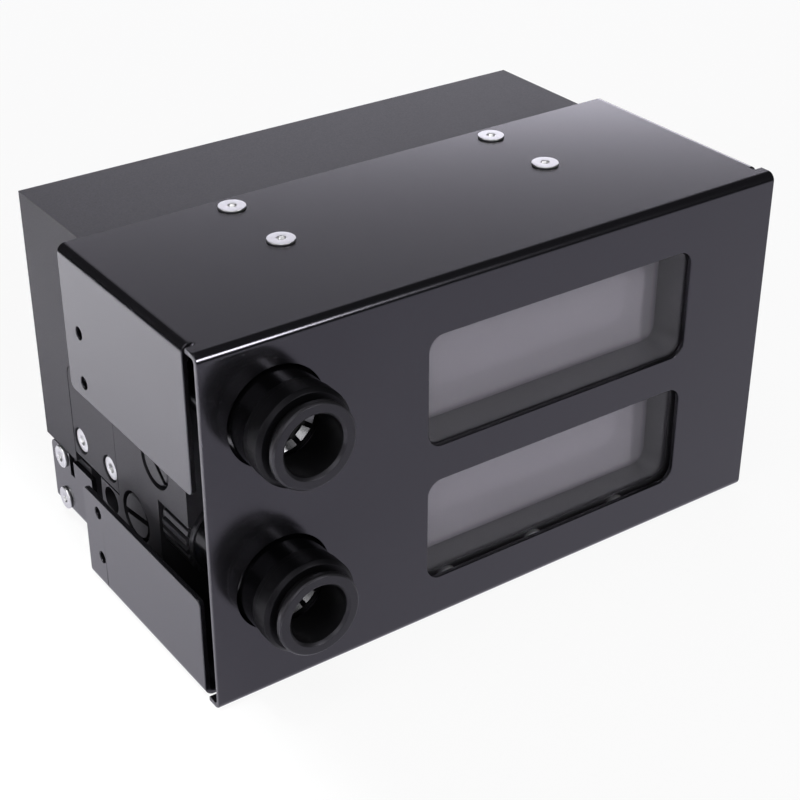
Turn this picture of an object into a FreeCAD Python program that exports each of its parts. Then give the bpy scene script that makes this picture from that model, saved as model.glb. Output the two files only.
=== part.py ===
"""Water cooling reservoir for two 5.25 inch drive bays.

A folded sheet cover carries a machined tank with two sight windows. Two push-in
tube fittings stand out of the front panel, two slotted plugs close the tank's left
end, and a folded bracket on two foot blocks holds up the tank's back.

Axes: +X to the right of the front panel, +Y to the back, +Z up. The origin is the
middle of the cover's underside. Inside each sketch, Y counts from the front panel.
"""
import FreeCAD, Part
import math
import os
import re
import Sketcher

doc = FreeCAD.newDocument("Reservoir")
sheet = doc.addObject("Spreadsheet::Sheet", "Dims")

# Driving dimensions in millimetres, angles in degrees, counts plain.
DIMENSIONS = {
    # Folded cover
    "cover_width": 146, "cover_height": 82.4, "cover_depth": 57.9, "sheet": 1.2,
    "bend_inner": 0.8, "flange_front": 5.7, "relief_width": 1.5, "relief_past_bend": 0.4,
    "upper_flange_drop": 33.3, "lower_flange_rise": 24.1, "flange_corner": 1.5,
    "bay_hole_inset": 6.8, "bay_hole_radius": 1.45, "bay_hole_pitch": 11.8,
    "upper_bay_hole_drop": 29.4, "lower_bay_hole_z": 8.5,
    # Windows in the front panel
    "window_left": -21.1, "window_right": 49.6, "window_corner": 3.5,
    "window_drop": 12.3, "window_bridge": 8.4, "lower_window_low": 10.7, "lower_window_height": 25,
    # Window frames and sight glasses
    "frame_side_rim": 9, "frame_outer_rim": 7.4, "frame_parting": 0.6,
    "frame_corner": 2, "upper_frame_gap": 0.4, "lower_frame_gap": 2, "glass_front": 11, "glass": 5,
    "frame_screw_side": 5.5, "frame_screw_outer": 3.6, "frame_screw_pitch": 24.3, "frame_screw_shift": -4,
    "boss_clearance": 0.3, "boss_sunk": 0.2,
    # Tank
    "tank_side_gap": 6, "tank_back": 89.7, "tongue_back": 61.3, "rear_floor": 19.7,
    "recess_right": -34, "recess_step_z": 31.4, "upper_recess": 20, "lower_recess": 33.2,
    "chamber_inset": 1.6, "chamber_corner": 4, "back_wall": 10, "tongue_wall": 6,
    "rear_shelf_z": 24.7, "rear_port_x": 35, "rear_port_radius": 5.9,
    "seal_land": 0.8, "seal_width": 2.2, "seal_depth": 1.6, "seal_clearance": 0.05,
    # Push-in fittings
    "fitting_inset": 16.3, "upper_fitting_drop": 17.9, "lower_fitting_z": 25.8,
    "panel_clearance": 0.3, "fitting_radius": 10.3, "band_radius": 10.5, "band_back": 6.4,
    "rim_reach": 10.4, "rim_chamfer": 0.8, "lip_length": 2.5, "cartridge_radius": 8.9,
    "cartridge_depth": 13.5, "tube_seat": 5, "waterway_radius": 4.6,
    "thread_radius": 6.5, "thread_length": 5, "thread_chamfer": 0.8, "thread_clearance": 0.05,
    "port_spare": 1.5, "collar_radius": 9.4, "collar_length": 8, "channel_end": 44,
    "cross_channel_radius": 4, "upper_cross_y": 39,
    # Release collets
    "mouth_reach": 13.6, "mouth_chamfer": 0.6, "collet_flange_radius": 9.2, "collet_flange": 1.5,
    "collet_edge": 0.4, "collet_radius": 8, "collet_bore_radius": 6.5, "slide_clearance": 0.05,
    "catch_radius": 8.6, "catch_length": 1.5, "collet_tail": 2.2, "slit_width": 1.2, "slit_spare": 0.4,
    # Grip rings, support rings and seals of the fittings
    "tube_seal_cord": 2.4, "support_length": 1.6, "ring_clearance": 0.05,
    "grip_sheet": 0.4, "grip_root_radius": 7.7, "grip_tip_radius": 6.35, "grip_lean": 0.9,
    "grip_teeth": 12, "grip_slit": 1.1, "seat_seal_outer": 8.7, "seat_seal_depth": 1.5,
    # Extension adapter
    "adapter_radius": 10.4, "adapter_room": 0.6, "adapter_land": 1.4, "rib_count": 30, "rib_groove": 1.1,
    "rib_groove_depth": 0.7,
    # Side plugs
    "upper_plug_y": 33.3, "upper_plug_z": 40.4, "upper_plug_turn": -41.8,
    "lower_plug_y": 44.5, "lower_plug_z": 20.7, "lower_plug_turn": 8.7,
    "plug_head_radius": 5.45, "plug_head": 3, "plug_ring_gap": 0.6, "plug_sunk": 0.2,
    "plug_shank": 7, "plug_thread_radius": 4, "plug_neck_radius": 3.4, "plug_seal_room": 1.8,
    "plug_seal_radius": 5, "plug_slot_width": 1.3, "plug_slot_depth": 1.6, "plug_edge": 0.5,
    "drain_radius": 3.5, "upper_drain_rise": 3,
    # Side cover on the left end
    "side_cover_front": 52.2, "side_cover_back": 74, "side_cover_low": 22.3, "side_cover_high": 45.8,
    "side_cover_corner": 3, "side_cover_thickness": 5, "side_cover_clearance": 0.15,
    "tongue_top": 22, "duct_front": 61.5, "duct_back": 67, "duct_high": 38, "duct_depth": 14,
    "side_screw_inset": 3.8, "side_screw_z": 27, "lead_hole_y": 56.6, "lead_hole_z": 18.4,
    "lead_hole_radius": 3.2, "lead_hole_depth": 12,
    # Rear bracket and foot blocks
    "bracket_front": 66.8, "bracket_back": 87.7, "bracket_sheet": 1.2, "bracket_bend": 0.8, "bracket_low": 2,
    "ear_height": 19.4, "ear_step": 1.2, "ear_corner": 2, "ear_screw_y": 82, "ear_screw_low": 5.4,
    "ear_screw_high": 16.9, "notch_y": 77.2, "notch_width": 2, "notch_depth": 5.6,
    "foot_width": 15, "foot_front": 69, "foot_back": 87, "foot_screw_inset": 7.5,
    "foot_screw_front": 73, "foot_screw_back": 79.5,
    # Screws
    "top_screw_x": 34.6, "top_screw_inset": 4.9, "top_screw_pitch": 19.8,
    "bottom_screw_inset": 3.5, "bottom_screw_pitch": 12,
    "screw_radius": 1.25, "screw_hole": 1.3, "screw_pass": 1.6,
    "head_radius": 2.9, "head_thickness": 1.6, "low_head_radius": 3.05, "low_head": 0.5,
    "ear_head_radius": 2.75, "ear_head": 0.7,
    "head_room": 0.3, "socket_radius": 1, "socket_depth": 0.9, "screw_grip": 5, "hole_spare": 0.8,
    "countersink_radius": 2.8, "countersink_angle": 45, "countersink_room": 0.05,
}
for row, (alias, value) in enumerate(DIMENSIONS.items(), start=1):
    sheet.set(f"A{row}", alias)
    sheet.set(f"B{row}", str(value))
    sheet.setAlias(f"B{row}", alias)
doc.recompute()

# Places worked out from the driving dimensions, used as text in expressions.
FRONT = "-cover_depth / 2"
BEND = "(bend_inner + sheet)"
TANK_FRONT = "(glass_front + glass)"
TANK_WIDTH = "(cover_width - 2 * tank_side_gap)"
TANK_LEFT = f"-{TANK_WIDTH} / 2"
TANK_TOP = "(cover_height - sheet)"
CHAMBER_ENTRY = "(window_left + chamber_inset + chamber_corner)"
WINDOW_MIDDLE = "((window_left + window_right) / 2)"
LOWER_WINDOW_HIGH = "(lower_window_low + lower_window_height)"
UPPER_WINDOW_LOW = f"({LOWER_WINDOW_HIGH} + window_bridge)"
UPPER_WINDOW_HIGH = "(cover_height - window_drop)"
PARTING = f"({LOWER_WINDOW_HIGH} + window_bridge / 2)"
FRAME_SCREW_COLUMNS = [f"{WINDOW_MIDDLE} + frame_screw_shift + {step} * frame_screw_pitch"
                       for step in (-1, 0, 1)]
FRAME_SCREW_SIDES = ["window_left - frame_screw_side", "window_right + frame_screw_side"]
WINDOWS = {
    "upper": {"low": UPPER_WINDOW_LOW, "high": UPPER_WINDOW_HIGH, "front": "(sheet + upper_frame_gap)"},
    "lower": {"low": "lower_window_low", "high": LOWER_WINDOW_HIGH, "front": "(sheet + lower_frame_gap)"},
}
FITTING_X = "-(cover_width / 2 - fitting_inset)"
FITTING_Z = {"upper": "(cover_height - upper_fitting_drop)", "lower": "lower_fitting_z"}
FOOT_SCREW_X = f"({TANK_WIDTH} / 2 - bracket_sheet - foot_screw_inset)"
TOP_SCREW_BACK = "(cover_depth - top_screw_inset)"
BOTTOM_SCREW_BACK = "(cover_depth - bottom_screw_inset)"
BRACKET_TOP = "(bracket_low + bracket_sheet)"
SIDES = {"left": -1, "right": 1}

# Turns that lay a piece's own Z axis along the way it points on the reservoir.
OUT_OF_FRONT = FreeCAD.Rotation(FreeCAD.Vector(1, 0, 0), 90)
OUT_OF_LEFT = FreeCAD.Rotation(FreeCAD.Vector(0, 1, 0), -90)
OUT_OF_RIGHT = FreeCAD.Rotation(FreeCAD.Vector(0, 1, 0), 90)


def bound(text):
    """Return the expression text with every alias read from the sheet."""
    def to_cell(match):
        return f"Dims.{match.group(0)}" if match.group(0) in DIMENSIONS else match.group(0)
    return re.sub(r"[a-z][a-z_]*", to_cell, str(text))


def value_of(text):
    """Return an expression's present value as a plain number."""
    value = sheet.evalExpression(bound(text))
    return getattr(value, "Value", value)


def new_body(label, x="0", y=FRONT, z="0", rotation=FreeCAD.Rotation()):
    """Start a sub-part at a place given by expressions."""
    body = doc.addObject("PartDesign::Body", label)
    body.Label = label
    body.Placement = FreeCAD.Placement(FreeCAD.Vector(), rotation)
    for letter, text in zip("xyz", (x, y, z)):
        body.setExpression(f"Placement.Base.{letter}", bound(text))
    return body


def new_sketch(body, name, plane, offset="0"):
    """Add a sketch on one of the body's own planes, moved along the plane's normal."""
    sketch = body.newObject("Sketcher::SketchObject", f"{body.Name}_{name}")
    origin_plane = next(o for o in body.Origin.OriginFeatures if o.Role == f"{plane}_Plane")
    sketch.AttachmentSupport = [(origin_plane, "")]
    sketch.MapMode = "FlatFace"
    sketch.setExpression("AttachmentOffset.Base.z", bound(offset))
    return sketch


def constrain(sketch, kind, references, text):
    """Add a constraint whose size is an expression."""
    index = sketch.addConstraint(Sketcher.Constraint(kind, *references, value_of(text)))
    sketch.setExpression(f"Constraints[{index}]", bound(text))


def place_point(sketch, geometry, position, x, y):
    """Hold one point of a sketch element at x, y from the sketch's origin."""
    constrain(sketch, "DistanceX", (-1, 1, geometry, position), x)
    constrain(sketch, "DistanceY", (-1, 1, geometry, position), y)


def draw_polygon(sketch, corners):
    """Draw a closed outline of straight edges through corners given as expressions."""
    points = [FreeCAD.Vector(value_of(x), value_of(y), 0) for x, y in corners]
    edges = [sketch.addGeometry(Part.LineSegment(start, end))
             for start, end in zip(points, points[1:] + points[:1])]
    for index, edge in enumerate(edges):
        sketch.addConstraint(Sketcher.Constraint("Coincident", edges[index - 1], 2, edge, 1))
        place_point(sketch, edge, 1, *corners[index])


def draw_box(sketch, left, right, low, high):
    """Draw a rectangle."""
    draw_polygon(sketch, [(left, low), (right, low), (right, high), (left, high)])


def draw_round_box(sketch, left, right, low, high, corner):
    """Draw a rectangle with round corners: four lines joined by tangent arcs."""
    x0, x1, y0, y1, r = (value_of(text) for text in (left, right, low, high, corner))
    ends = [((x0 + r, y0), (x1 - r, y0)), ((x1, y0 + r), (x1, y1 - r)),
            ((x1 - r, y1), (x0 + r, y1)), ((x0, y1 - r), (x0, y0 + r))]
    centres = [(x1 - r, y0 + r), (x1 - r, y1 - r), (x0 + r, y1 - r), (x0 + r, y0 + r)]
    quarter = math.pi / 2
    lines = [sketch.addGeometry(Part.LineSegment(FreeCAD.Vector(*a, 0), FreeCAD.Vector(*b, 0)))
             for a, b in ends]
    arcs = []
    for turn, centre in enumerate(centres):
        circle = Part.Circle(FreeCAD.Vector(*centre, 0), FreeCAD.Vector(0, 0, 1), r)
        arcs.append(sketch.addGeometry(Part.ArcOfCircle(circle, (turn - 1) * quarter, turn * quarter)))
    for turn in range(4):
        sketch.addConstraint(Sketcher.Constraint("Tangent", lines[turn], 2, arcs[turn], 1))
        sketch.addConstraint(Sketcher.Constraint("Tangent", arcs[turn], 2, lines[(turn + 1) % 4], 1))
        direction = "Vertical" if turn % 2 else "Horizontal"
        sketch.addConstraint(Sketcher.Constraint(direction, lines[turn]))
    for arc in arcs:
        constrain(sketch, "Radius", (arc,), corner)
    # Equal radii and square sides leave the four edge positions to set.
    constrain(sketch, "DistanceY", (-1, 1, lines[0], 1), low)
    constrain(sketch, "DistanceX", (-1, 1, lines[1], 1), right)
    constrain(sketch, "DistanceY", (-1, 1, lines[2], 1), high)
    constrain(sketch, "DistanceX", (-1, 1, lines[3], 1), left)


def draw_circles(sketch, centres, radius):
    """Draw equal circles at centres given as expressions."""
    for x, y in centres:
        middle = FreeCAD.Vector(value_of(x), value_of(y), 0)
        circle = sketch.addGeometry(Part.Circle(middle, FreeCAD.Vector(0, 0, 1), value_of(radius)))
        place_point(sketch, circle, 3, x, y)
        constrain(sketch, "Radius", (circle,), radius)


def add_pad(body, sketch, length, backwards=False, both_ways=False, taper=None):
    """Raise a sketch along its plane's normal, or against it."""
    pad = body.newObject("PartDesign::Pad", f"{sketch.Name}_pad")
    pad.Profile = sketch
    pad.setExpression("Length", bound(length))
    pad.Reversed = backwards
    pad.SideType = "Symmetric" if both_ways else "One side"
    if taper:
        pad.setExpression("TaperAngle", bound(taper))
    sketch.Visibility = False
    doc.recompute()
    return pad


def add_pocket(body, sketch, length=None, along_normal=False, taper=None):
    """Cut a sketch into the body, against its plane's normal unless told otherwise.

    With no length the cut runs right through, both ways.
    """
    before = body.Shape.Volume
    pocket = body.newObject("PartDesign::Pocket", f"{sketch.Name}_pocket")
    pocket.Profile = sketch
    if length is None:
        pocket.Type = "ThroughAll"
        pocket.SideType = "Symmetric"
    else:
        pocket.setExpression("Length", bound(length))
        pocket.Reversed = along_normal
    if taper:
        pocket.setExpression("TaperAngle", bound(taper))
    sketch.Visibility = False
    doc.recompute()
    if not body.Shape.Volume < before:
        raise RuntimeError(f"{sketch.Name} cuts nothing")
    return pocket


def add_revolution(body, outline):
    """Turn an outline of (radius, height) corners about the body's own Z axis."""
    sketch = new_sketch(body, "outline", "XZ")
    draw_polygon(sketch, outline)
    revolution = body.newObject("PartDesign::Revolution", f"{body.Name}_revolution")
    revolution.Profile = sketch
    revolution.ReferenceAxis = (sketch, ["V_Axis"])
    revolution.Angle = 360
    sketch.Visibility = False
    doc.recompute()
    return revolution


def add_polar_pattern(body, feature, count):
    """Repeat a feature round the body's own Z axis."""
    pattern = body.newObject("PartDesign::PolarPattern", f"{feature.Name}_ring")
    pattern.Originals = [feature]
    axis = next(o for o in body.Origin.OriginFeatures if o.Role == "Z_Axis")
    pattern.Axis = (axis, [""])
    pattern.Angle = 360
    pattern.setExpression("Occurrences", bound(count))
    body.Tip = pattern
    doc.recompute()


def add_fillet(body, name, radius, wanted):
    """Round the straight edges whose middle point and direction the test accepts."""
    base = body.Tip
    edges = [f"Edge{number}" for number, edge in enumerate(base.Shape.Edges, start=1)
             if edge.Curve.TypeId == "Part::GeomLine" and wanted(edge.CenterOfMass, edge.tangentAt(0))]
    if not edges:
        raise RuntimeError(f"{body.Label}: no edge for {name}")
    fillet = body.newObject("PartDesign::Fillet", f"{body.Name}_{name}")
    fillet.Base = (base, edges)
    fillet.setExpression("Radius", bound(radius))
    doc.recompute()


def near(number, text):
    """Tell whether a number equals an expression's value."""
    return abs(number - value_of(text)) < 1e-6


def along(direction, axis):
    """Tell whether a direction lies along the named axis."""
    return abs(abs(getattr(direction, axis)) - 1) < 1e-6


def grid(columns, rows):
    """Return every crossing of the columns and rows."""
    return [(x, y) for x in columns for y in rows]


TOP_SCREWS = grid(["-top_screw_x", "top_screw_x"], [f"{TOP_SCREW_BACK} - top_screw_pitch", TOP_SCREW_BACK])
BOTTOM_SCREWS = grid(["-top_screw_x", "top_screw_x"],
                     [f"{BOTTOM_SCREW_BACK} - bottom_screw_pitch", BOTTOM_SCREW_BACK])
FOOT_SCREWS = grid([f"-{FOOT_SCREW_X}", FOOT_SCREW_X], ["foot_screw_front", "foot_screw_back"])
EAR_SCREWS = grid(["ear_screw_y"], ["ear_screw_low", "ear_screw_high"])
SIDE_COVER_SCREWS = grid(["side_cover_front + side_screw_inset", "side_cover_back - side_screw_inset"],
                         ["side_screw_z"])
FITTINGS = [(FITTING_X, z) for z in FITTING_Z.values()]
PLUGS = {"upper": ("upper_plug_y", "upper_plug_z"), "lower": ("lower_plug_y", "lower_plug_z")}


def frame_screws(which):
    """Return the centres of one window frame's screws: its outer edge and its two sides."""
    low, high = WINDOWS[which]["low"], WINDOWS[which]["high"]
    outer = f"{high} + frame_screw_outer" if which == "upper" else f"{low} - frame_screw_outer"
    return grid(FRAME_SCREW_COLUMNS, [outer]) + grid(FRAME_SCREW_SIDES, [f"({low} + {high}) / 2"])


def frame_outline(which):
    """Return left, right, low and high of one window frame and of its sight glass."""
    left, right = "window_left - frame_side_rim", "window_right + frame_side_rim"
    if which == "upper":
        return left, right, f"{PARTING} + frame_parting / 2", f"{UPPER_WINDOW_HIGH} + frame_outer_rim"
    return left, right, "lower_window_low - frame_outer_rim", f"{PARTING} - frame_parting / 2"


def window_outline(which, grow="0"):
    """Return left, right, low and high of one window, made larger all round."""
    low, high = WINDOWS[which]["low"], WINDOWS[which]["high"]
    return (f"window_left - ({grow})", f"window_right + ({grow})", f"{low} - ({grow})", f"{high} + ({grow})")


def make_front_cover():
    """Folded sheet: panel, top and bottom plates, four side flanges, windows and holes."""
    body = new_body("front_cover")
    profile = new_sketch(body, "profile", "YZ")
    draw_polygon(profile, [
        ("0", "0"), ("cover_depth", "0"), ("cover_depth", "sheet"), ("sheet", "sheet"),
        ("sheet", TANK_TOP), ("cover_depth", TANK_TOP), ("cover_depth", "cover_height"),
        ("0", "cover_height")])
    add_pad(body, profile, "cover_width", both_ways=True)

    flanges = new_sketch(body, "flanges", "XZ", "-flange_front")
    for low, high in (("0", "lower_flange_rise"), ("cover_height - upper_flange_drop", "cover_height")):
        draw_box(flanges, "-cover_width / 2", "-cover_width / 2 + sheet", low, high)
        draw_box(flanges, "cover_width / 2 - sheet", "cover_width / 2", low, high)
    add_pad(body, flanges, "cover_depth - flange_front", backwards=True)

    reliefs = new_sketch(body, "reliefs", "XY")
    for side in SIDES.values():
        ends = [f"{side} * cover_width / 2", f"{side} * (cover_width / 2 - {BEND} - relief_past_bend)"]
        draw_box(reliefs, *ends, "flange_front - relief_width", "flange_front")
    add_pocket(body, reliefs)

    heights = ("0", "cover_height")
    inner_heights = ("sheet", TANK_TOP)
    half = "cover_width / 2"

    def outer_bend(middle, direction):
        at_height = any(near(middle.z, text) for text in heights)
        at_front = along(direction, "x") and near(middle.y, "0")
        at_side = along(direction, "y") and near(abs(middle.x), half) and middle.y > value_of("flange_front")
        return at_height and (at_front or at_side)

    def inner_bend(middle, direction):
        at_height = any(near(middle.z, text) for text in inner_heights)
        at_front = along(direction, "x") and near(middle.y, "sheet")
        at_side = along(direction, "y") and near(abs(middle.x), f"{half} - sheet")
        return at_height and (at_front or at_side)

    def free_corner(middle, direction):
        at_height = near(middle.z, "lower_flange_rise") or near(middle.z, "cover_height - upper_flange_drop")
        return at_height and along(direction, "x")

    add_fillet(body, "outer_bends", BEND, outer_bend)
    add_fillet(body, "inner_bends", "bend_inner", inner_bend)
    add_fillet(body, "flange_corners", "flange_corner", free_corner)

    windows = new_sketch(body, "windows", "XZ")
    for which in WINDOWS:
        draw_round_box(windows, *window_outline(which), "window_corner")
    draw_circles(windows, FITTINGS, "band_radius + panel_clearance")
    add_pocket(body, windows)

    bay_holes = new_sketch(body, "bay_holes", "YZ")
    for lowest in ("lower_bay_hole_z", "cover_height - upper_bay_hole_drop"):
        rows = [lowest, f"{lowest} + bay_hole_pitch"]
        draw_circles(bay_holes, grid(["cover_depth - bay_hole_inset"], rows), "bay_hole_radius")
    add_pocket(body, bay_holes)

    top_holes = new_sketch(body, "top_holes", "XY", "cover_height")
    draw_circles(top_holes, TOP_SCREWS, "screw_pass")
    add_pocket(body, top_holes, "2 * sheet")

    bottom_holes = new_sketch(body, "bottom_holes", "XY")
    draw_circles(bottom_holes, BOTTOM_SCREWS, "countersink_radius + countersink_room")
    add_pocket(body, bottom_holes, "sheet", along_normal=True, taper="-countersink_angle")


def cut_tank_ports(body):
    """Ports for the fittings, channels behind them and the plugs' ports in the left end."""
    for which, seat in (("upper", "upper_recess"), ("lower", "lower_recess")):
        place = [(FITTING_X, FITTING_Z[which])]
        port = new_sketch(body, f"{which}_port", "XZ", f"-{seat}")
        draw_circles(port, place, "thread_radius + thread_clearance")
        add_pocket(body, port, "thread_length + port_spare")
        channel = new_sketch(body, f"{which}_channel", "XZ", f"-{seat}")
        draw_circles(channel, place, "waterway_radius")
        add_pocket(body, channel, f"channel_end - {seat}")

    upper_cross = new_sketch(body, "upper_cross", "YZ", FITTING_X)
    draw_circles(upper_cross, [("upper_cross_y", FITTING_Z["upper"])], "cross_channel_radius")
    add_pocket(body, upper_cross, f"{CHAMBER_ENTRY} - {FITTING_X}", along_normal=True)

    head_depth = "plug_head + plug_sunk"
    steps = (("spot_face", "plug_head_radius + plug_ring_gap", head_depth),
             ("seal_room", "plug_seal_radius", f"{head_depth} + plug_seal_room"),
             ("thread", "plug_thread_radius + thread_clearance", f"{head_depth} + plug_shank + port_spare"))
    for which, place in PLUGS.items():
        for name, radius, depth in steps:
            sketch = new_sketch(body, f"{which}_plug_{name}", "YZ", TANK_LEFT)
            draw_circles(sketch, [place], radius)
            add_pocket(body, sketch, depth, along_normal=True)
        tip = f"{head_depth} + plug_shank"
        drain = new_sketch(body, f"{which}_drain", "YZ", f"{TANK_LEFT} + {tip}")
        rise = "upper_drain_rise" if which == "upper" else "0"
        draw_circles(drain, [(place[0], f"{place[1]} + {rise}")], "drain_radius")
        add_pocket(body, drain, f"{CHAMBER_ENTRY} + {TANK_WIDTH} / 2 - ({tip})", along_normal=True)

    rear_ports = new_sketch(body, "rear_ports", "XZ", "-tank_back")
    upper_middle = f"({UPPER_WINDOW_LOW} + {UPPER_WINDOW_HIGH}) / 2"
    lower_middle = f"(rear_shelf_z + {LOWER_WINDOW_HIGH} - chamber_inset) / 2"
    draw_circles(rear_ports, grid(["rear_port_x"], [upper_middle, lower_middle]), "rear_port_radius")
    add_pocket(body, rear_ports, "back_wall", along_normal=True)


def cut_tank_chambers(body):
    """Two chambers milled from the front, each with a seal groove round its mouth."""
    chamber_depth = f"tank_back - back_wall - {TANK_FRONT}"
    for which in WINDOWS:
        chamber = new_sketch(body, f"{which}_chamber", "XZ", f"-{TANK_FRONT}")
        draw_round_box(chamber, *window_outline(which, "-chamber_inset"), "chamber_corner")
        depth = chamber_depth if which == "upper" else f"tongue_back - tongue_wall - {TANK_FRONT}"
        add_pocket(body, chamber, depth)
        groove = new_sketch(body, f"{which}_seal_groove", "XZ", f"-{TANK_FRONT}")
        draw_seal_ring(groove, which, "0")
        add_pocket(body, groove, "seal_depth")
    rear_shelf = new_sketch(body, "rear_shelf", "XZ", f"-{TANK_FRONT}")
    left, right, _, high = window_outline("lower", "-chamber_inset")
    draw_box(rear_shelf, f"{left} + chamber_corner", f"{right} - chamber_corner", "rear_shelf_z", high)
    add_pocket(body, rear_shelf, chamber_depth)


def draw_seal_ring(sketch, which, clearance):
    """Draw the inner and outer outline of the seal round one chamber's mouth."""
    for grow in (f"seal_land + {clearance}", f"seal_land + seal_width - {clearance}"):
        outline = window_outline(which, f"{grow} - chamber_inset")
        draw_round_box(sketch, *outline, f"chamber_corner + {grow}")


def cut_tank_left_end(body):
    """Seat of the side cover, the lead duct behind it and the lead hole below it."""
    seat = new_sketch(body, "side_cover_seat", "YZ", TANK_LEFT)
    draw_polygon(seat, [
        ("side_cover_front", "tongue_top"), ("tongue_back", "tongue_top"),
        ("tongue_back", "rear_floor - hole_spare"), ("side_cover_back", "rear_floor - hole_spare"),
        ("side_cover_back", "side_cover_high"), ("side_cover_front", "side_cover_high")])
    add_pocket(body, seat, "side_cover_thickness", along_normal=True)

    def top_corner(middle, direction):
        at_end = near(middle.y, "side_cover_front") or near(middle.y, "side_cover_back")
        return at_end and along(direction, "x") and near(middle.z, "side_cover_high")

    add_fillet(body, "side_cover_seat_corners", "side_cover_corner", top_corner)
    duct = new_sketch(body, "duct", "YZ", TANK_LEFT)
    draw_box(duct, "duct_front", "duct_back", "rear_floor - hole_spare", "duct_high")
    add_pocket(body, duct, "duct_depth", along_normal=True)
    lead_hole = new_sketch(body, "lead_hole", "YZ", TANK_LEFT)
    draw_circles(lead_hole, [("lead_hole_y", "lead_hole_z")], "lead_hole_radius")
    add_pocket(body, lead_hole, "lead_hole_depth", along_normal=True)
    holes = new_sketch(body, "side_cover_holes", "YZ", TANK_LEFT)
    draw_circles(holes, SIDE_COVER_SCREWS, "screw_hole")
    add_pocket(body, holes, "side_cover_thickness + screw_grip + hole_spare", along_normal=True)


def cut_tank_screw_holes(body):
    """Blind holes for the screws of the cover, the window frames and the foot blocks."""
    depth = "screw_grip + hole_spare"
    top = new_sketch(body, "top_holes", "XY", TANK_TOP)
    draw_circles(top, TOP_SCREWS, "screw_hole")
    add_pocket(body, top, depth)
    bottom = new_sketch(body, "bottom_holes", "XY", "sheet")
    draw_circles(bottom, BOTTOM_SCREWS, "screw_hole")
    add_pocket(body, bottom, depth, along_normal=True)
    foot = new_sketch(body, "foot_holes", "XY", "rear_floor")
    draw_circles(foot, FOOT_SCREWS, "screw_hole")
    add_pocket(body, foot, depth, along_normal=True)
    for which in WINDOWS:
        holes = new_sketch(body, f"{which}_frame_holes", "XZ", f"-{TANK_FRONT}")
        draw_circles(holes, frame_screws(which), "screw_hole")
        add_pocket(body, holes, depth)


def make_tank_body():
    """Machined tank: stepped block with recesses for the fittings, chambers, ports and seats."""
    body = new_body("tank_body")
    profile = new_sketch(body, "profile", "YZ")
    draw_polygon(profile, [
        (TANK_FRONT, "sheet"), ("tongue_back", "sheet"), ("tongue_back", "rear_floor"),
        ("tank_back", "rear_floor"), ("tank_back", TANK_TOP), (TANK_FRONT, TANK_TOP)])
    add_pad(body, profile, TANK_WIDTH, both_ways=True)
    for which, low, high in (("upper", "recess_step_z", TANK_TOP), ("lower", "sheet", "recess_step_z")):
        recess = new_sketch(body, f"{which}_recess", "XZ", f"-{TANK_FRONT}")
        draw_box(recess, TANK_LEFT, "recess_right", low, high)
        add_pocket(body, recess, f"{which}_recess - {TANK_FRONT}")
    adapter_room = new_sketch(body, "adapter_room", "XZ", "-upper_recess")
    draw_circles(adapter_room, [(FITTING_X, FITTING_Z["lower"])], "adapter_radius + adapter_room")
    add_pocket(body, adapter_room, "lower_recess - upper_recess")
    cut_tank_chambers(body)
    cut_tank_ports(body)
    cut_tank_left_end(body)
    cut_tank_screw_holes(body)


def make_window(which):
    """One window: frame behind the panel, sight glass, seal and screws."""
    front = WINDOWS[which]["front"]
    flush = which == "upper"
    frame = new_body(f"{which}_window_frame")
    outline = new_sketch(frame, "outline", "XZ", "-glass_front")
    draw_round_box(outline, *frame_outline(which), "frame_corner")
    draw_round_box(outline, *window_outline(which), "window_corner")
    add_pad(frame, outline, f"glass_front - {front}")
    holes = new_sketch(frame, "holes", "XZ", f"-{front}")
    draw_circles(holes, frame_screws(which), "screw_pass")
    add_pocket(frame, holes, f"glass_front - {front}")
    if flush:
        sinks = new_sketch(frame, "head_sinks", "XZ", f"-{front}")
        draw_circles(sinks, frame_screws(which), "head_radius + head_room")
        add_pocket(frame, sinks, "head_thickness + head_room")

    glass = new_body(f"{which}_sight_glass")
    pane = new_sketch(glass, "pane", "XZ", "-glass_front")
    draw_round_box(pane, *frame_outline(which), "frame_corner")
    draw_circles(pane, frame_screws(which), "screw_pass")
    add_pad(glass, pane, "glass", backwards=True)
    boss = new_sketch(glass, "boss", "XZ", "-glass_front")
    draw_round_box(boss, *window_outline(which, "-boss_clearance"), "window_corner - boss_clearance")
    add_pad(glass, boss, f"glass_front - {front} - boss_sunk")

    seal = new_body(f"{which}_glass_seal")
    ring = new_sketch(seal, "ring", "XZ", f"-{TANK_FRONT}")
    draw_seal_ring(ring, which, "seal_clearance")
    add_pad(seal, ring, "seal_depth", backwards=True)

    head_seat = f"{front} + head_thickness + head_room" if flush else front
    screws = new_body(f"{which}_frame_screws", y=f"{FRONT} + {head_seat}", rotation=OUT_OF_FRONT)
    shank = f"{TANK_FRONT} - ({head_seat}) + screw_grip"
    add_screws(screws, frame_screws(which), shank, "head_radius", "head_thickness")


def add_screws(body, places, shank, head_radius, head):
    """Raise screw heads from the body's own XY plane, with their shanks below it."""
    heads = new_sketch(body, "heads", "XY")
    draw_circles(heads, places, head_radius)
    add_pad(body, heads, head)
    shanks = new_sketch(body, "shanks", "XY")
    draw_circles(shanks, places, "screw_radius")
    add_pad(body, shanks, shank, backwards=True)
    sockets = new_sketch(body, "sockets", "XY", head)
    draw_circles(sockets, places, "socket_radius")
    add_pocket(body, sockets, "socket_depth")


# Heights along a fitting's axis, counted forward from its seat on the tank.
RIM = "(upper_recess + rim_reach)"
BAND = "(upper_recess + band_back)"
LIP = f"({RIM} - lip_length)"
CARTRIDGE = f"({RIM} - cartridge_depth)"
TUBE_STOP = f"({CARTRIDGE} - tube_seat)"
MOUTH = "(upper_recess + mouth_reach)"
SUPPORT = f"({CARTRIDGE} + tube_seal_cord)"
GRIP = f"({SUPPORT} + support_length)"


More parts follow.
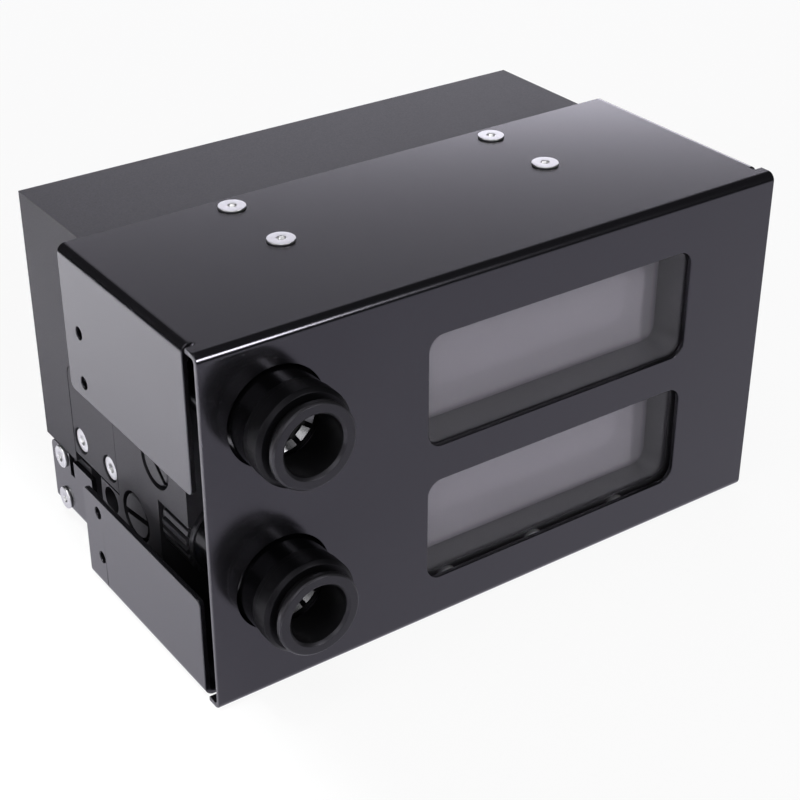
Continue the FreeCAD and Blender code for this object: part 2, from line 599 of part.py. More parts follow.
def spigot_outline():
    """Return the corners of a threaded spigot and of the seal recess above it."""
    return [("waterway_radius", "-thread_length"), ("thread_radius - thread_chamfer", "-thread_length"),
            ("thread_radius", "-thread_length + thread_chamfer"), ("thread_radius", "seat_seal_depth"),
            ("seat_seal_outer", "seat_seal_depth"), ("seat_seal_outer", "0")]


def make_seat_seal(label, x, y, z):
    """Ring seal in the recess under a spigot's shoulder, flat between its two seats."""
    seal = new_body(label, x, y, z, OUT_OF_FRONT)
    inner, outer = "thread_radius + seal_clearance", "seat_seal_outer - seal_clearance"
    add_revolution(seal, [(inner, "0"), (outer, "0"), (outer, "seat_seal_depth"), (inner, "seat_seal_depth")])


def make_fitting(which):
    """One push-in tube fitting: body, collet, grip ring, support ring and seals."""
    place = (FITTING_X, f"{FRONT} + upper_recess", FITTING_Z[which])
    body = new_body(f"{which}_fitting_body", *place, OUT_OF_FRONT)
    add_revolution(body, spigot_outline() + [
        ("collar_radius", "0"), ("collar_radius", "collar_length"), ("fitting_radius", "collar_length"),
        ("fitting_radius", BAND), ("band_radius", BAND), ("band_radius", f"{RIM} - rim_chamfer"),
        ("band_radius - rim_chamfer", RIM), ("collet_radius + slide_clearance", RIM),
        ("collet_radius + slide_clearance", LIP), ("cartridge_radius", LIP), ("cartridge_radius", CARTRIDGE),
        ("collet_bore_radius", CARTRIDGE), ("collet_bore_radius", TUBE_STOP), ("waterway_radius", TUBE_STOP)])

    collet = new_body(f"{which}_collet", *place, OUT_OF_FRONT)
    flange_back = f"{MOUTH} - collet_flange"
    catch_front = f"{LIP} - slide_clearance"
    catch_back = f"{catch_front} - catch_length"
    tail = f"{catch_back} - collet_tail"
    add_revolution(collet, [
        ("collet_bore_radius", tail), ("collet_radius", tail), ("collet_radius", catch_back),
        ("catch_radius", catch_back), ("catch_radius", catch_front), ("collet_radius", catch_front),
        ("collet_radius", flange_back), ("collet_flange_radius", flange_back),
        ("collet_flange_radius", f"{MOUTH} - collet_edge"), ("collet_flange_radius - collet_edge", MOUTH),
        ("collet_bore_radius + mouth_chamfer", MOUTH), ("collet_bore_radius", f"{MOUTH} - mouth_chamfer")])
    long, short = "(catch_radius + slit_spare)", "slit_width / 2"
    for name, reach_x, reach_y in (("slit_x", long, short), ("slit_y", short, long)):
        slit = new_sketch(collet, name, "XY", tail)
        draw_box(slit, f"-{reach_x}", reach_x, f"-{reach_y}", reach_y)
        add_pocket(collet, slit, "collet_tail + catch_length + slit_spare", along_normal=True)

    grip = new_body(f"{which}_grip_ring", *place, OUT_OF_FRONT)
    rim = "cartridge_radius - ring_clearance"
    add_revolution(grip, [
        (rim, GRIP), (rim, f"{GRIP} + grip_sheet"), ("grip_root_radius", f"{GRIP} + grip_sheet"),
        ("grip_tip_radius", f"{GRIP} + grip_sheet - grip_lean"), ("grip_tip_radius", f"{GRIP} - grip_lean"),
        ("grip_root_radius", GRIP)])
    slit = new_sketch(grip, "slit", "XY", f"{GRIP} - grip_lean")
    draw_box(slit, "0", "grip_root_radius", "-grip_slit / 2", "grip_slit / 2")
    cut = add_pocket(grip, slit, "grip_sheet + grip_lean", along_normal=True)
    add_polar_pattern(grip, cut, "grip_teeth")

    support = new_body(f"{which}_support_ring", *place, OUT_OF_FRONT)
    bore = "grip_root_radius + ring_clearance"
    add_revolution(support, [(bore, SUPPORT), (rim, SUPPORT), (rim, GRIP), (bore, GRIP)])

    tube_seal = doc.addObject("Part::Torus", f"{which}_tube_seal")
    tube_seal.Label = f"{which}_tube_seal"
    tube_seal.Placement = FreeCAD.Placement(FreeCAD.Vector(), OUT_OF_FRONT)
    tube_seal.setExpression("Radius2", bound("tube_seal_cord / 2"))
    tube_seal.setExpression("Radius1", bound("cartridge_radius - ring_clearance - tube_seal_cord / 2"))
    centre = (FITTING_X, f"{FRONT} + upper_recess - {CARTRIDGE} - tube_seal_cord / 2", FITTING_Z[which])
    for letter, text in zip("xyz", centre):
        tube_seal.setExpression(f"Placement.Base.{letter}", bound(text))

    make_seat_seal(f"{which}_seat_seal", *place)


def make_extension_adapter():
    """Ribbed adapter that brings the lower fitting out of its deeper recess."""
    place = (FITTING_X, f"{FRONT} + lower_recess", FITTING_Z["lower"])
    adapter = new_body("extension_adapter", *place, OUT_OF_FRONT)
    length = "(lower_recess - upper_recess)"
    port = "thread_radius + thread_clearance"
    port_floor = f"{length} - thread_length - thread_chamfer"
    add_revolution(adapter, spigot_outline() + [
        ("adapter_radius - rib_groove_depth", "0"), ("adapter_radius - rib_groove_depth", "adapter_land"),
        ("adapter_radius", "adapter_land"), ("adapter_radius", f"{length} - adapter_land"),
        ("adapter_radius - rib_groove_depth", f"{length} - adapter_land"),
        ("adapter_radius - rib_groove_depth", length), (port, length), (port, port_floor),
        ("waterway_radius", port_floor)])
    groove = new_sketch(adapter, "rib_groove", "XY", "adapter_land")
    draw_polygon(groove, [
        ("adapter_radius - rib_groove_depth", "0"), ("adapter_radius + rib_groove_depth", "-rib_groove"),
        ("adapter_radius + rib_groove_depth", "rib_groove")])
    cut = add_pocket(adapter, groove, f"{length} - 2 * adapter_land", along_normal=True)
    add_polar_pattern(adapter, cut, "rib_count")
    make_seat_seal("extension_seal", *place)


def make_side_plug(which):
    """Slotted screw plug in the tank's left end, with the ring seal on its neck."""
    y, z = PLUGS[which]
    head_back = "-plug_head"
    neck_back = f"{head_back} - plug_seal_room"
    tip = f"{head_back} - plug_shank"
    turn = FreeCAD.Rotation(FreeCAD.Vector(0, 0, 1), value_of(f"{which}_plug_turn"))
    place = (f"{TANK_LEFT} + plug_sunk", f"{FRONT} + {y}", z)
    plug = new_body(f"{which}_side_plug", *place, OUT_OF_LEFT.multiply(turn))
    add_revolution(plug, [
        ("0", tip), ("plug_thread_radius - thread_chamfer", tip),
        ("plug_thread_radius", f"{tip} + thread_chamfer"), ("plug_thread_radius", neck_back),
        ("plug_neck_radius", neck_back), ("plug_neck_radius", head_back), ("plug_head_radius", head_back),
        ("plug_head_radius", "-plug_edge"), ("plug_head_radius - plug_edge", "0"), ("0", "0")])
    slot = new_sketch(plug, "slot", "XY")
    draw_box(slot, "-plug_slot_width / 2", "plug_slot_width / 2", "-plug_head_radius", "plug_head_radius")
    add_pocket(plug, slot, "plug_slot_depth")

    seal = new_body(f"{which}_plug_seal", *place, OUT_OF_LEFT)
    inner, outer = "plug_neck_radius + seal_clearance", "plug_seal_radius - ring_clearance"
    low, high = f"{neck_back} + seal_clearance", f"{head_back} - seal_clearance"
    add_revolution(seal, [(inner, low), (outer, low), (outer, high), (inner, high)])


def make_side_cover():
    """Plate let into the tank's left end over the lead duct, with two sunk screws."""
    plate = new_body("side_cover")
    outline = new_sketch(plate, "outline", "YZ", TANK_LEFT)
    draw_box(outline, "side_cover_front + side_cover_clearance", "side_cover_back - side_cover_clearance",
             "side_cover_low", "side_cover_high - side_cover_clearance")
    add_pad(plate, outline, "side_cover_thickness")
    add_fillet(plate, "top_corners", "side_cover_corner",
               lambda middle, direction: along(direction, "x") and middle.z > value_of("side_screw_z"))
    holes = new_sketch(plate, "holes", "YZ", TANK_LEFT)
    draw_circles(holes, SIDE_COVER_SCREWS, "screw_pass")
    add_pocket(plate, holes, "side_cover_thickness", along_normal=True)
    sinks = new_sketch(plate, "head_sinks", "YZ", TANK_LEFT)
    draw_circles(sinks, SIDE_COVER_SCREWS, "head_radius + head_room")
    sink = "head_thickness + head_room"
    add_pocket(plate, sinks, sink, along_normal=True)

    screws = new_body("side_cover_screws", x=f"{TANK_LEFT} + {sink}", rotation=OUT_OF_LEFT)
    places = [(z, y) for y, z in SIDE_COVER_SCREWS]
    shank = f"side_cover_thickness - ({sink}) + screw_grip"
    add_screws(screws, places, shank, "head_radius", "head_thickness")


def make_rear_bracket():
    """Folded bracket under the tank's back: a base strip and two upright ears."""
    body = new_body("rear_bracket")
    half = f"{TANK_WIDTH} / 2"
    profile = new_sketch(body, "profile", "XZ", "-bracket_front")
    draw_polygon(profile, [
        (f"-{half}", "bracket_low"), (half, "bracket_low"), (half, "ear_height"),
        (f"{half} - bracket_sheet", "ear_height"), (f"{half} - bracket_sheet", BRACKET_TOP),
        (f"-{half} + bracket_sheet", BRACKET_TOP),
        (f"-{half} + bracket_sheet", "ear_height"), (f"-{half}", "ear_height")])
    add_pad(body, profile, "bracket_back - bracket_front", backwards=True)
    add_fillet(body, "outer_bends", "bracket_bend + bracket_sheet",
               lambda middle, direction: along(direction, "y") and near(middle.z, "bracket_low"))
    add_fillet(body, "inner_bends", "bracket_bend",
               lambda middle, direction: along(direction, "y") and near(middle.z, BRACKET_TOP))
    add_fillet(body, "ear_corners", "ear_corner",
               lambda middle, direction: along(direction, "x") and near(middle.z, "ear_height"))
    holes = new_sketch(body, "ear_holes", "YZ")
    draw_circles(holes, EAR_SCREWS, "screw_pass")
    step, over = "ear_height - ear_step", "ear_height + hole_spare"
    draw_polygon(holes, [
        ("bracket_front - hole_spare", step), ("notch_y - notch_width / 2", step),
        ("notch_y - notch_width / 2", "ear_height - notch_depth"),
        ("notch_y + notch_width / 2", "ear_height - notch_depth"),
        ("notch_y + notch_width / 2", over), ("bracket_front - hole_spare", over)])
    add_pocket(body, holes)
    base_holes = new_sketch(body, "base_holes", "XY", "bracket_low")
    draw_circles(base_holes, FOOT_SCREWS, "countersink_radius + countersink_room")
    add_pocket(body, base_holes, "bracket_sheet", along_normal=True, taper="-countersink_angle")


def make_foot_block(side):
    """Spacer block between the rear bracket and the tank, drilled for both sets of screws."""
    sign = SIDES[side]
    outer = f"({TANK_WIDTH} / 2 - bracket_sheet)"
    body = new_body(f"{side}_foot_block")
    outline = new_sketch(body, "outline", "XY", BRACKET_TOP)
    ends = [f"{sign} * ({outer} - foot_width)", f"{sign} * {outer}"]
    draw_box(outline, *ends, "foot_front", "foot_back")
    add_pad(body, outline, f"rear_floor - {BRACKET_TOP}")
    add_fillet(body, "bend_edge", "bracket_bend + head_room",
               lambda middle, direction: (along(direction, "y") and near(middle.z, BRACKET_TOP)
                                          and near(abs(middle.x), outer)))
    through = new_sketch(body, "through_holes", "XY", "rear_floor")
    places = grid([f"{sign} * {FOOT_SCREW_X}"], ["foot_screw_front", "foot_screw_back"])
    draw_circles(through, places, "screw_pass")
    add_pocket(body, through, f"rear_floor - {BRACKET_TOP}")
    side_holes = new_sketch(body, "side_holes", "YZ", f"{sign} * {outer}")
    draw_circles(side_holes, EAR_SCREWS, "screw_hole")
    add_pocket(body, side_holes, "screw_grip + hole_spare", along_normal=sign < 0)


def make_ear_screws(side):
    """Two proud screws that hold one ear of the bracket to its foot block."""
    sign = SIDES[side]
    rotation = OUT_OF_LEFT if sign < 0 else OUT_OF_RIGHT
    screws = new_body(f"{side}_ear_screws", x=f"{sign} * {TANK_WIDTH} / 2", rotation=rotation)
    places = [(f"{-sign} * {z}", y) for y, z in EAR_SCREWS]
    add_screws(screws, places, "bracket_sheet + screw_grip", "ear_head_radius", "ear_head")


def make_countersunk_screws(label, places, low, plate, shank):
    """Flush screws driven upwards through a plate whose underside is at the height low."""
    screws = new_body(label, z=low)
    heads = new_sketch(screws, "heads", "XY")
    draw_circles(heads, places, "countersink_radius")
    add_pad(screws, heads, plate, taper="-countersink_angle")
    shanks = new_sketch(screws, "shanks", "XY", plate)
    draw_circles(shanks, places, "screw_radius")
    add_pad(screws, shanks, shank)
    sockets = new_sketch(screws, "sockets", "XY")
    draw_circles(sockets, places, "socket_radius")
    add_pocket(screws, sockets, "socket_depth", along_normal=True)


def make_cover_screws():
    """Low-headed screws in the top plate and flush screws in the bottom plate."""
    top = new_body("top_screws", z="cover_height")
    add_screws(top, TOP_SCREWS, "sheet + screw_grip", "low_head_radius", "low_head")
    make_countersunk_screws("bottom_screws", BOTTOM_SCREWS, "0", "sheet", "screw_grip")


def write_parts():
    """Check every object, then write one file per sub-part."""
    doc.recompute()
    broken = [o.Name for o in doc.Objects if {"Invalid", "Error"} & set(o.State)]
    if broken:
        raise RuntimeError(f"failed objects: {broken}")
    parts = [o for o in doc.Objects if o.TypeId in ("PartDesign::Body", "Part::Torus")]
    for part in parts:
        if part.Shape.isNull() or not part.Shape.isValid():
            raise RuntimeError(f"bad shape: {part.Label}")
    os.makedirs("parts", exist_ok=True)
    for part in parts:
        part.Shape.exportStep(f"parts/{part.Label}.step")
    print(f"{len(parts)} sub-parts written")


make_front_cover()
make_tank_body()
for window in WINDOWS:
    make_window(window)
    make_fitting(window)
    make_side_plug(window)
make_extension_adapter()
make_side_cover()
make_rear_bracket()
for end in SIDES:
    make_foot_block(end)
    make_ear_screws(end)
make_countersunk_screws("bracket_base_screws", FOOT_SCREWS, "bracket_low", "bracket_sheet",
                        f"rear_floor - {BRACKET_TOP} + screw_grip")
make_cover_screws()
write_parts()
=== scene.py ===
# %% [markdown]
# # A water cooling reservoir for two drive bays
# The real object is a folded black sheet cover over a machined tank. Two push-in tube
# fittings stand out of the front, two windows show the tank's sight glasses, and slotted
# plugs close its left end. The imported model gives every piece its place, so this lesson
# only adds what the eye expects: folded sheet with broken edges, turned plastic, screw
# heads, fine surface texture and studio light.

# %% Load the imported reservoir
import cmath
import math

import bmesh
import bpy
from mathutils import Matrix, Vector


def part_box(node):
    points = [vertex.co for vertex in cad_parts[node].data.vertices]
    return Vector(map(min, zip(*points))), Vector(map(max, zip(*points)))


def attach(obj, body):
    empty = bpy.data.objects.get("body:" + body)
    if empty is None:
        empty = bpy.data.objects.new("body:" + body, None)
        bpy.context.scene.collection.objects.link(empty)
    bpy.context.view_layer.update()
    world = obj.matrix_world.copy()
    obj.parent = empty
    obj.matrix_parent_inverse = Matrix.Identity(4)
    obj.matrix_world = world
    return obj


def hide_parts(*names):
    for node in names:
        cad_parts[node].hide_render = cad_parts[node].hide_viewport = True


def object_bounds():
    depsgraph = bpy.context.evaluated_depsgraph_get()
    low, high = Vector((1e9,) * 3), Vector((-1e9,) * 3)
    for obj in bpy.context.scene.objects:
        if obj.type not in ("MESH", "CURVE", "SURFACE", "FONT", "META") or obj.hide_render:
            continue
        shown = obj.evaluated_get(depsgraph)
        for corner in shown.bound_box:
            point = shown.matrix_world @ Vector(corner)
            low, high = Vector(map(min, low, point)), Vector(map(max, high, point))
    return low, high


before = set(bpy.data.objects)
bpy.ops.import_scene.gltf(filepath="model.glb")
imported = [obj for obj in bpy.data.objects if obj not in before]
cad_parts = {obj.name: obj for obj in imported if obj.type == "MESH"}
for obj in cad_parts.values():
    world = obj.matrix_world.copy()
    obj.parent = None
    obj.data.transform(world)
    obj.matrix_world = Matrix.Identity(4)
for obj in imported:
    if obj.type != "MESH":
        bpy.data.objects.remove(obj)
cad_low, cad_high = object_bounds()
scene = bpy.context.scene
MM = 0.001
TANK = "reservoir"
print("nodes", len(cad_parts), "box", [round(v / MM, 2) for v in (*cad_low, *cad_high)])

# %% [markdown]
# ## The camera
# The camera could be placed by eye, but the object's straight edges tell more: fitted to
# them, a lens of about 78 mm stands to the front left and looks down by 30 degrees. A
# camera that copies this shows every piece at the place it has in the reference view.

# %% Camera
VIEW_AZIMUTH = math.radians(-35.04)
VIEW_ELEVATION = math.radians(30.46)
CAMERA_PLACE = Vector((-198.8, -272.1, 233.1)) * MM
LENS = 77.9
SENSOR = 36.0

camera_data = bpy.data.cameras.new("camera")
camera_data.lens = LENS
camera_data.sensor_width = SENSOR
camera = bpy.data.objects.new("camera", camera_data)
scene.collection.objects.link(camera)
looking = Vector((-math.sin(VIEW_AZIMUTH) * math.cos(VIEW_ELEVATION),
                  math.cos(VIEW_AZIMUTH) * math.cos(VIEW_ELEVATION),
                  -math.sin(VIEW_ELEVATION)))
camera.rotation_mode = "QUATERNION"
camera.rotation_quaternion = looking.to_track_quat("-Z", "Y")
camera.location = CAMERA_PLACE
scene.camera = camera
scene.view_settings.view_transform = "Standard"
print("camera looks along", [round(v, 3) for v in looking])

# %% [markdown]
# ## Building blocks for node trees
# Materials and Geometry Nodes are both trees of nodes. Wiring each socket by hand makes
# long code, so small helpers add a node, set its options and feed its inputs. An input
# may be a plain value or the output of another node.

# %% Node helpers
def feed(tree, socket, value):
    """Feed a socket from another node's output, or set it to a plain value."""
    if isinstance(value, bpy.types.NodeSocket):
        tree.links.new(value, socket)
    else:
        socket.default_value = value


def source_of(socket):
    """Return the output that feeds a socket."""
    return socket.links[0].from_socket


def add_node(tree, kind, inputs=None, **options):
    """Add a node, set its options and feed its inputs, named or numbered."""
    node = tree.nodes.new(kind)
    for option, value in options.items():
        setattr(node, option, value)
    for key, value in (inputs or {}).items():
        feed(tree, node.inputs[key], value)
    return node


def calculate(tree, operation, *values):
    """Add a Math node and return its result."""
    node = add_node(tree, "ShaderNodeMath", dict(enumerate(values)), operation=operation)
    return node.outputs[0]


def remap(tree, value, start, end, low=0.0, high=1.0, shape="LINEAR"):
    """Map a value from start and end to low and high, and hold it there beyond them."""
    return add_node(tree, "ShaderNodeMapRange", {
        "Value": value, "From Min": start, "From Max": end, "To Min": low, "To Max": high},
        interpolation_type=shape).outputs[0]


def mix_colours(tree, share, first, second):
    """Mix two colours by the second one's share."""
    node = add_node(tree, "ShaderNodeMix", {0: share, 6: first, 7: second}, data_type="RGBA")
    return node.outputs[2]


print("node helpers ready")

# %% [markdown]
# ## Surface effects that several finishes share
# Powder coat, machined plastic and moulded plastic all have a fine grain, and anything
# that is handled has faint smudges. Each effect is a node group, built once. It reads the
# object's own coordinates, so the pattern has the same real size on every piece, and it
# gives out only a roughness, a height or a mask for the material to use.

# %% Start a shader group
FLOAT, VECTOR = "NodeSocketFloat", "NodeSocketVector"


def new_group(name, inputs, outputs):
    """Start a shader group with named sockets, and return it with both of its ends."""
    group = bpy.data.node_groups.new(name, "ShaderNodeTree")
    for socket, kind, default in inputs:
        made = group.interface.new_socket(socket, in_out="INPUT", socket_type=kind)
        if default is not None:
            made.default_value = default
    for socket, kind in outputs:
        group.interface.new_socket(socket, in_out="OUTPUT", socket_type=kind)
    start, end = group.nodes.new("NodeGroupInput"), group.nodes.new("NodeGroupOutput")
    return group, start.outputs, end.inputs


print("group helper ready")

# %% Grain and smudges
NOISE_SPAN = (0.3, 0.7)
SMUDGE_PEAK = 0.85

grain, grain_in, grain_out = new_group(
    "fine_grain",
    [("Vector", VECTOR, None), ("Scale", FLOAT, 2000.0),
     ("Smoothest", FLOAT, 0.25), ("Roughest", FLOAT, 0.35)],
    [("Roughness", FLOAT), ("Height", FLOAT)])
grain_noise = add_node(grain, "ShaderNodeTexNoise", {
    "Vector": grain_in["Vector"], "Scale": grain_in["Scale"],
    "Detail": 3.0, "Roughness": 0.6}).outputs[0]
grain_gloss = remap(grain, grain_noise, *NOISE_SPAN, grain_in["Smoothest"], grain_in["Roughest"])
feed(grain, grain_out["Roughness"], grain_gloss)
feed(grain, grain_out["Height"], grain_noise)

smudges, smudges_in, smudges_out = new_group(
    "handling_smudges",
    [("Vector", VECTOR, None), ("Scale", FLOAT, 28.0), ("Cover", FLOAT, 0.5)],
    [("Mask", FLOAT)])
smudges_noise = add_node(smudges, "ShaderNodeTexNoise", {
    "Vector": smudges_in["Vector"], "Scale": smudges_in["Scale"],
    "Detail": 4.0, "Roughness": 0.65, "Distortion": 0.6}).outputs[0]
smudges_start = calculate(smudges, "SUBTRACT", SMUDGE_PEAK, smudges_in["Cover"])
feed(smudges, smudges_out["Mask"], remap(smudges, smudges_noise, smudges_start, SMUDGE_PEAK))
print("groups", grain.name, smudges.name)

# %% [markdown]
# ## The finishes
# Every finish of the reservoir is dark, so the gloss tells them apart: the cover's coat is
# smooth and shiny, the tank's machined plastic is duller, the collets are satin. One
# helper starts a material with its colour, grain and smudges, and each finish then adds
# what only it has. The blacks mirror light with a faint violet cast, which the shader's
# specular tint gives. Values that are the same all over are set on the shader itself.

# %% A helper for the finishes
def place_group(tree, group, **values):
    """Place a shader group in a material, feed its inputs and return its outputs."""
    node = tree.nodes.new("ShaderNodeGroup")
    node.node_tree = group
    for name, value in values.items():
        feed(tree, node.inputs[name], value)
    return node.outputs


def new_finish(name, colour, worn_colour, gloss, grain_scale, grain_depth,
               ior=1.5, metal=0.0, specular=0.5, sheen=(1.0, 1.0, 1.0)):
    """Start a material: two close colours mixed by smudges, grained gloss and a fine bump."""
    material = bpy.data.materials.new(name)
    material.use_nodes = True
    tree = material.node_tree
    shader = tree.nodes["Principled BSDF"]
    shader.inputs["IOR"].default_value = ior
    shader.inputs["Metallic"].default_value = metal
    shader.inputs["Specular IOR Level"].default_value = specular
    shader.inputs["Specular Tint"].default_value = (*sheen, 1)
    coords = add_node(tree, "ShaderNodeTexCoord").outputs["Object"]
    marks = place_group(tree, smudges, Vector=coords)
    tint = mix_colours(tree, marks["Mask"], (*colour, 1), (*worn_colour, 1))
    feed(tree, shader.inputs["Base Color"], tint)
    fine = place_group(tree, grain, Vector=coords, Scale=grain_scale,
                       Smoothest=gloss[0], Roughest=gloss[1])
    feed(tree, shader.inputs["Roughness"], fine["Roughness"])
    bump = add_node(tree, "ShaderNodeBump", {
        "Height": fine["Height"], "Distance": grain_depth * MM, "Strength": 1.0})
    feed(tree, shader.inputs["Normal"], bump.outputs[0])
    return material, tree, shader, coords


print("finish helper ready")

# %% Cover coat, collets, plating and seals
VIOLET_SHEEN = (0.90, 0.87, 1.0)

black_coat = new_finish(
    "black_coat", colour=(0.0035, 0.0034, 0.0041), worn_colour=(0.0050, 0.0048, 0.0058),
    gloss=(0.15, 0.19), grain_scale=3500.0, grain_depth=0.0004, ior=1.57,
    sheen=VIOLET_SHEEN)[0]
collet_black = new_finish(
    "collet_black", colour=(0.0035, 0.0035, 0.0038), worn_colour=(0.0050, 0.0050, 0.0054),
    gloss=(0.36, 0.46), grain_scale=5200.0, grain_depth=0.003, specular=0.4,
    sheen=VIOLET_SHEEN)[0]
black_plating = new_finish(
    "black_plating", colour=(0.005, 0.005, 0.0055), worn_colour=(0.008, 0.0078, 0.0085),
    gloss=(0.30, 0.42), grain_scale=2600.0, grain_depth=0.002, specular=0.3,
    sheen=VIOLET_SHEEN)[0]
seal_rubber = new_finish(
    "seal_rubber", colour=(0.018, 0.018, 0.018), worn_colour=(0.026, 0.026, 0.026),
    gloss=(0.55, 0.70), grain_scale=4000.0, grain_depth=0.004)[0]
plain = (black_coat, collet_black, black_plating, seal_rubber)
print("plain finishes", [finish.name for finish in plain])

# %% [markdown]
# ## Glossy fittings with a satin band
# The fittings' bodies are glossy black, but the band at their front end is duller and
# shows as grey. Two materials could do it, but then the band needs faces of its own, so
# one material changes its gloss by how far back a point lies.

# %% Fitting gloss
BAND_LENGTH = 5.4 * MM
BAND_BLUR = 0.1 * MM
BAND_GLOSS = 0.42

gloss_black, gloss_tree, gloss_shader, gloss_coords = new_finish(
    "gloss_black", colour=(0.0010, 0.0010, 0.0012), worn_colour=(0.0016, 0.0016, 0.0018),
    gloss=(0.16, 0.20), grain_scale=4000.0, grain_depth=0.0002, specular=0.12,
    sheen=VIOLET_SHEEN)
band_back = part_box("upper_fitting_body")[0][1] + BAND_LENGTH
how_far_back = add_node(gloss_tree, "ShaderNodeSeparateXYZ", {0: gloss_coords}).outputs[1]
band = remap(gloss_tree, how_far_back, band_back + BAND_BLUR, band_back - BAND_BLUR)
body_gloss = source_of(gloss_shader.inputs["Roughness"])
band_gloss = remap(gloss_tree, band, 0.0, 1.0, body_gloss, BAND_GLOSS)
feed(gloss_tree, gloss_shader.inputs["Roughness"], band_gloss)
print("satin band ends at", round(band_back / MM, 2))

# %% [markdown]
# ## Machined plastic
# The tank, the window frames and the foot blocks are milled from black acetal. The cutter
# leaves very fine parallel lines, which a stretched noise gives: it changes fast across
# the lines and slowly along them.

# %% Machined acetal
LINE_DEPTH = 0.003 * MM

streaks, streaks_in, streaks_out = new_group(
    "tool_streaks",
    [("Vector", VECTOR, None), ("Across", FLOAT, 4000.0), ("Along", FLOAT, 60.0)],
    [("Height", FLOAT)])
streaks_place = add_node(streaks, "ShaderNodeSeparateXYZ", {0: streaks_in["Vector"]}).outputs
stretched = add_node(streaks, "ShaderNodeCombineXYZ", {
    axis: calculate(streaks, "MULTIPLY", streaks_place[axis], streaks_in[scale])
    for axis, scale in enumerate(("Along", "Across", "Across"))})
streaks_noise = add_node(streaks, "ShaderNodeTexNoise", {
    "Vector": stretched.outputs[0], "Scale": 1.0, "Detail": 2.0, "Roughness": 0.5})
feed(streaks, streaks_out["Height"], streaks_noise.outputs[0])

black_acetal, acetal_tree, acetal_shader, acetal_coords = new_finish(
    "black_acetal", colour=(0.008, 0.0078, 0.0089), worn_colour=(0.011, 0.0107, 0.0120),
    gloss=(0.50, 0.60), grain_scale=3000.0, grain_depth=0.002, ior=1.44, sheen=VIOLET_SHEEN)
lines = place_group(acetal_tree, streaks, Vector=acetal_coords, Across=2600.0, Along=25.0)
line_bump = add_node(acetal_tree, "ShaderNodeBump", {
    "Height": lines["Height"], "Distance": LINE_DEPTH, "Strength": 1.0,
    "Normal": source_of(acetal_shader.inputs["Normal"])})
feed(acetal_tree, acetal_shader.inputs["Normal"], line_bump.outputs[0])
print("machined acetal with", streaks.name)

# %% [markdown]
# ## Steel
# The screws are bright steel, and the grip rings inside the fittings are spring steel,
# given a darker colour as painted shade for their place deep in the bores. Marks this fine
# could be drawn one by one, but on heads this small the grain's uneven gloss says the same.

# %% Screw steel and shaded grip steel
steel = new_finish(
    "steel", colour=(0.66, 0.66, 0.67), worn_colour=(0.60, 0.60, 0.61),
    gloss=(0.36, 0.46), grain_scale=5000.0, grain_depth=0.001, metal=1.0)[0]
# Painted shade: the grip rings' steel is a darker copy of the screw steel.
shaded_grip_steel = new_finish(
    "shaded_grip_steel", colour=(0.30, 0.30, 0.31), worn_colour=(0.24, 0.24, 0.25),
    gloss=(0.24, 0.36), grain_scale=5000.0, grain_depth=0.001, metal=1.0)[0]
print("metals", steel.name, shaded_grip_steel.name)

# %% [markdown]
# ## Satin sight glass
# Each sight glass is a satin acrylic pane in front of a chamber. Where the chamber lies
# behind it the pane is light grey, and towards its rim it has painted shade: a soft dark
# band stands in for the shaded black tank face seen through it. Tracing that through a real
# translucent pane would be noisy, so a soft mask from the pane's own coordinates paints the
# same look without noise.

# %% Satin panes
# Painted shade: a soft dark band of these widths and this colour runs round each pane's rim.
PANE_SIDE_RIMS = (9.6 * MM, 9.6 * MM)
PANE_RIMS = {"upper": (4.5 * MM, 8.0 * MM), "lower": (8.0 * MM, 4.5 * MM)}
PANE_SOFTNESS = 1.6 * MM
PAINTED_RIM_SHADE = (0.0110, 0.0070, 0.0158, 1)


def satin_acrylic(which):
    """Make one pane's grey finish, with painted shade outside the mouth of the chamber behind it.
    """
    material, tree, shader, coords = new_finish(
        f"{which}_satin_acrylic", colour=(0.147, 0.138, 0.155),
        worn_colour=(0.155, 0.146, 0.163), gloss=(0.45, 0.55), grain_scale=1800.0,
        grain_depth=0.0004, specular=0.1)
    low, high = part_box(f"{which}_sight_glass")
    place = add_node(tree, "ShaderNodeSeparateXYZ", {0: coords}).outputs
    inside = []
    for axis, rims in ((0, PANE_SIDE_RIMS), (2, PANE_RIMS[which])):
        for start, direction in ((low[axis] + rims[0], 1), (high[axis] - rims[1], -1)):
            past_start = calculate(tree, "SUBTRACT", place[axis], start)
            inward = calculate(tree, "MULTIPLY", past_start, direction)
            inside.append(remap(tree, inward, -PANE_SOFTNESS, PANE_SOFTNESS, shape="SMOOTHSTEP"))
    mask = inside[0]
    for side_mask in inside[1:]:
        mask = calculate(tree, "MULTIPLY", mask, side_mask)
    tint = source_of(shader.inputs["Base Color"])
    # The pane's grey turns to the painted shade colour outside the chamber's mouth.
    feed(tree, shader.inputs["Base Color"], mix_colours(tree, mask, PAINTED_RIM_SHADE, tint))
    return material


panes = {which: satin_acrylic(which) for which in PANE_RIMS}
print("panes", [pane.name for pane in panes.values()])

# %% [markdown]
# ## Clear blocks
# A thick clear block stands in front of each pane and fills the window. Plain glass would
# keep the lamps' light from the pane or make it noisy, so rays towards a lamp pass straight
# through. Its index is close to air's, to keep the pane in place, and a coat adds gloss.

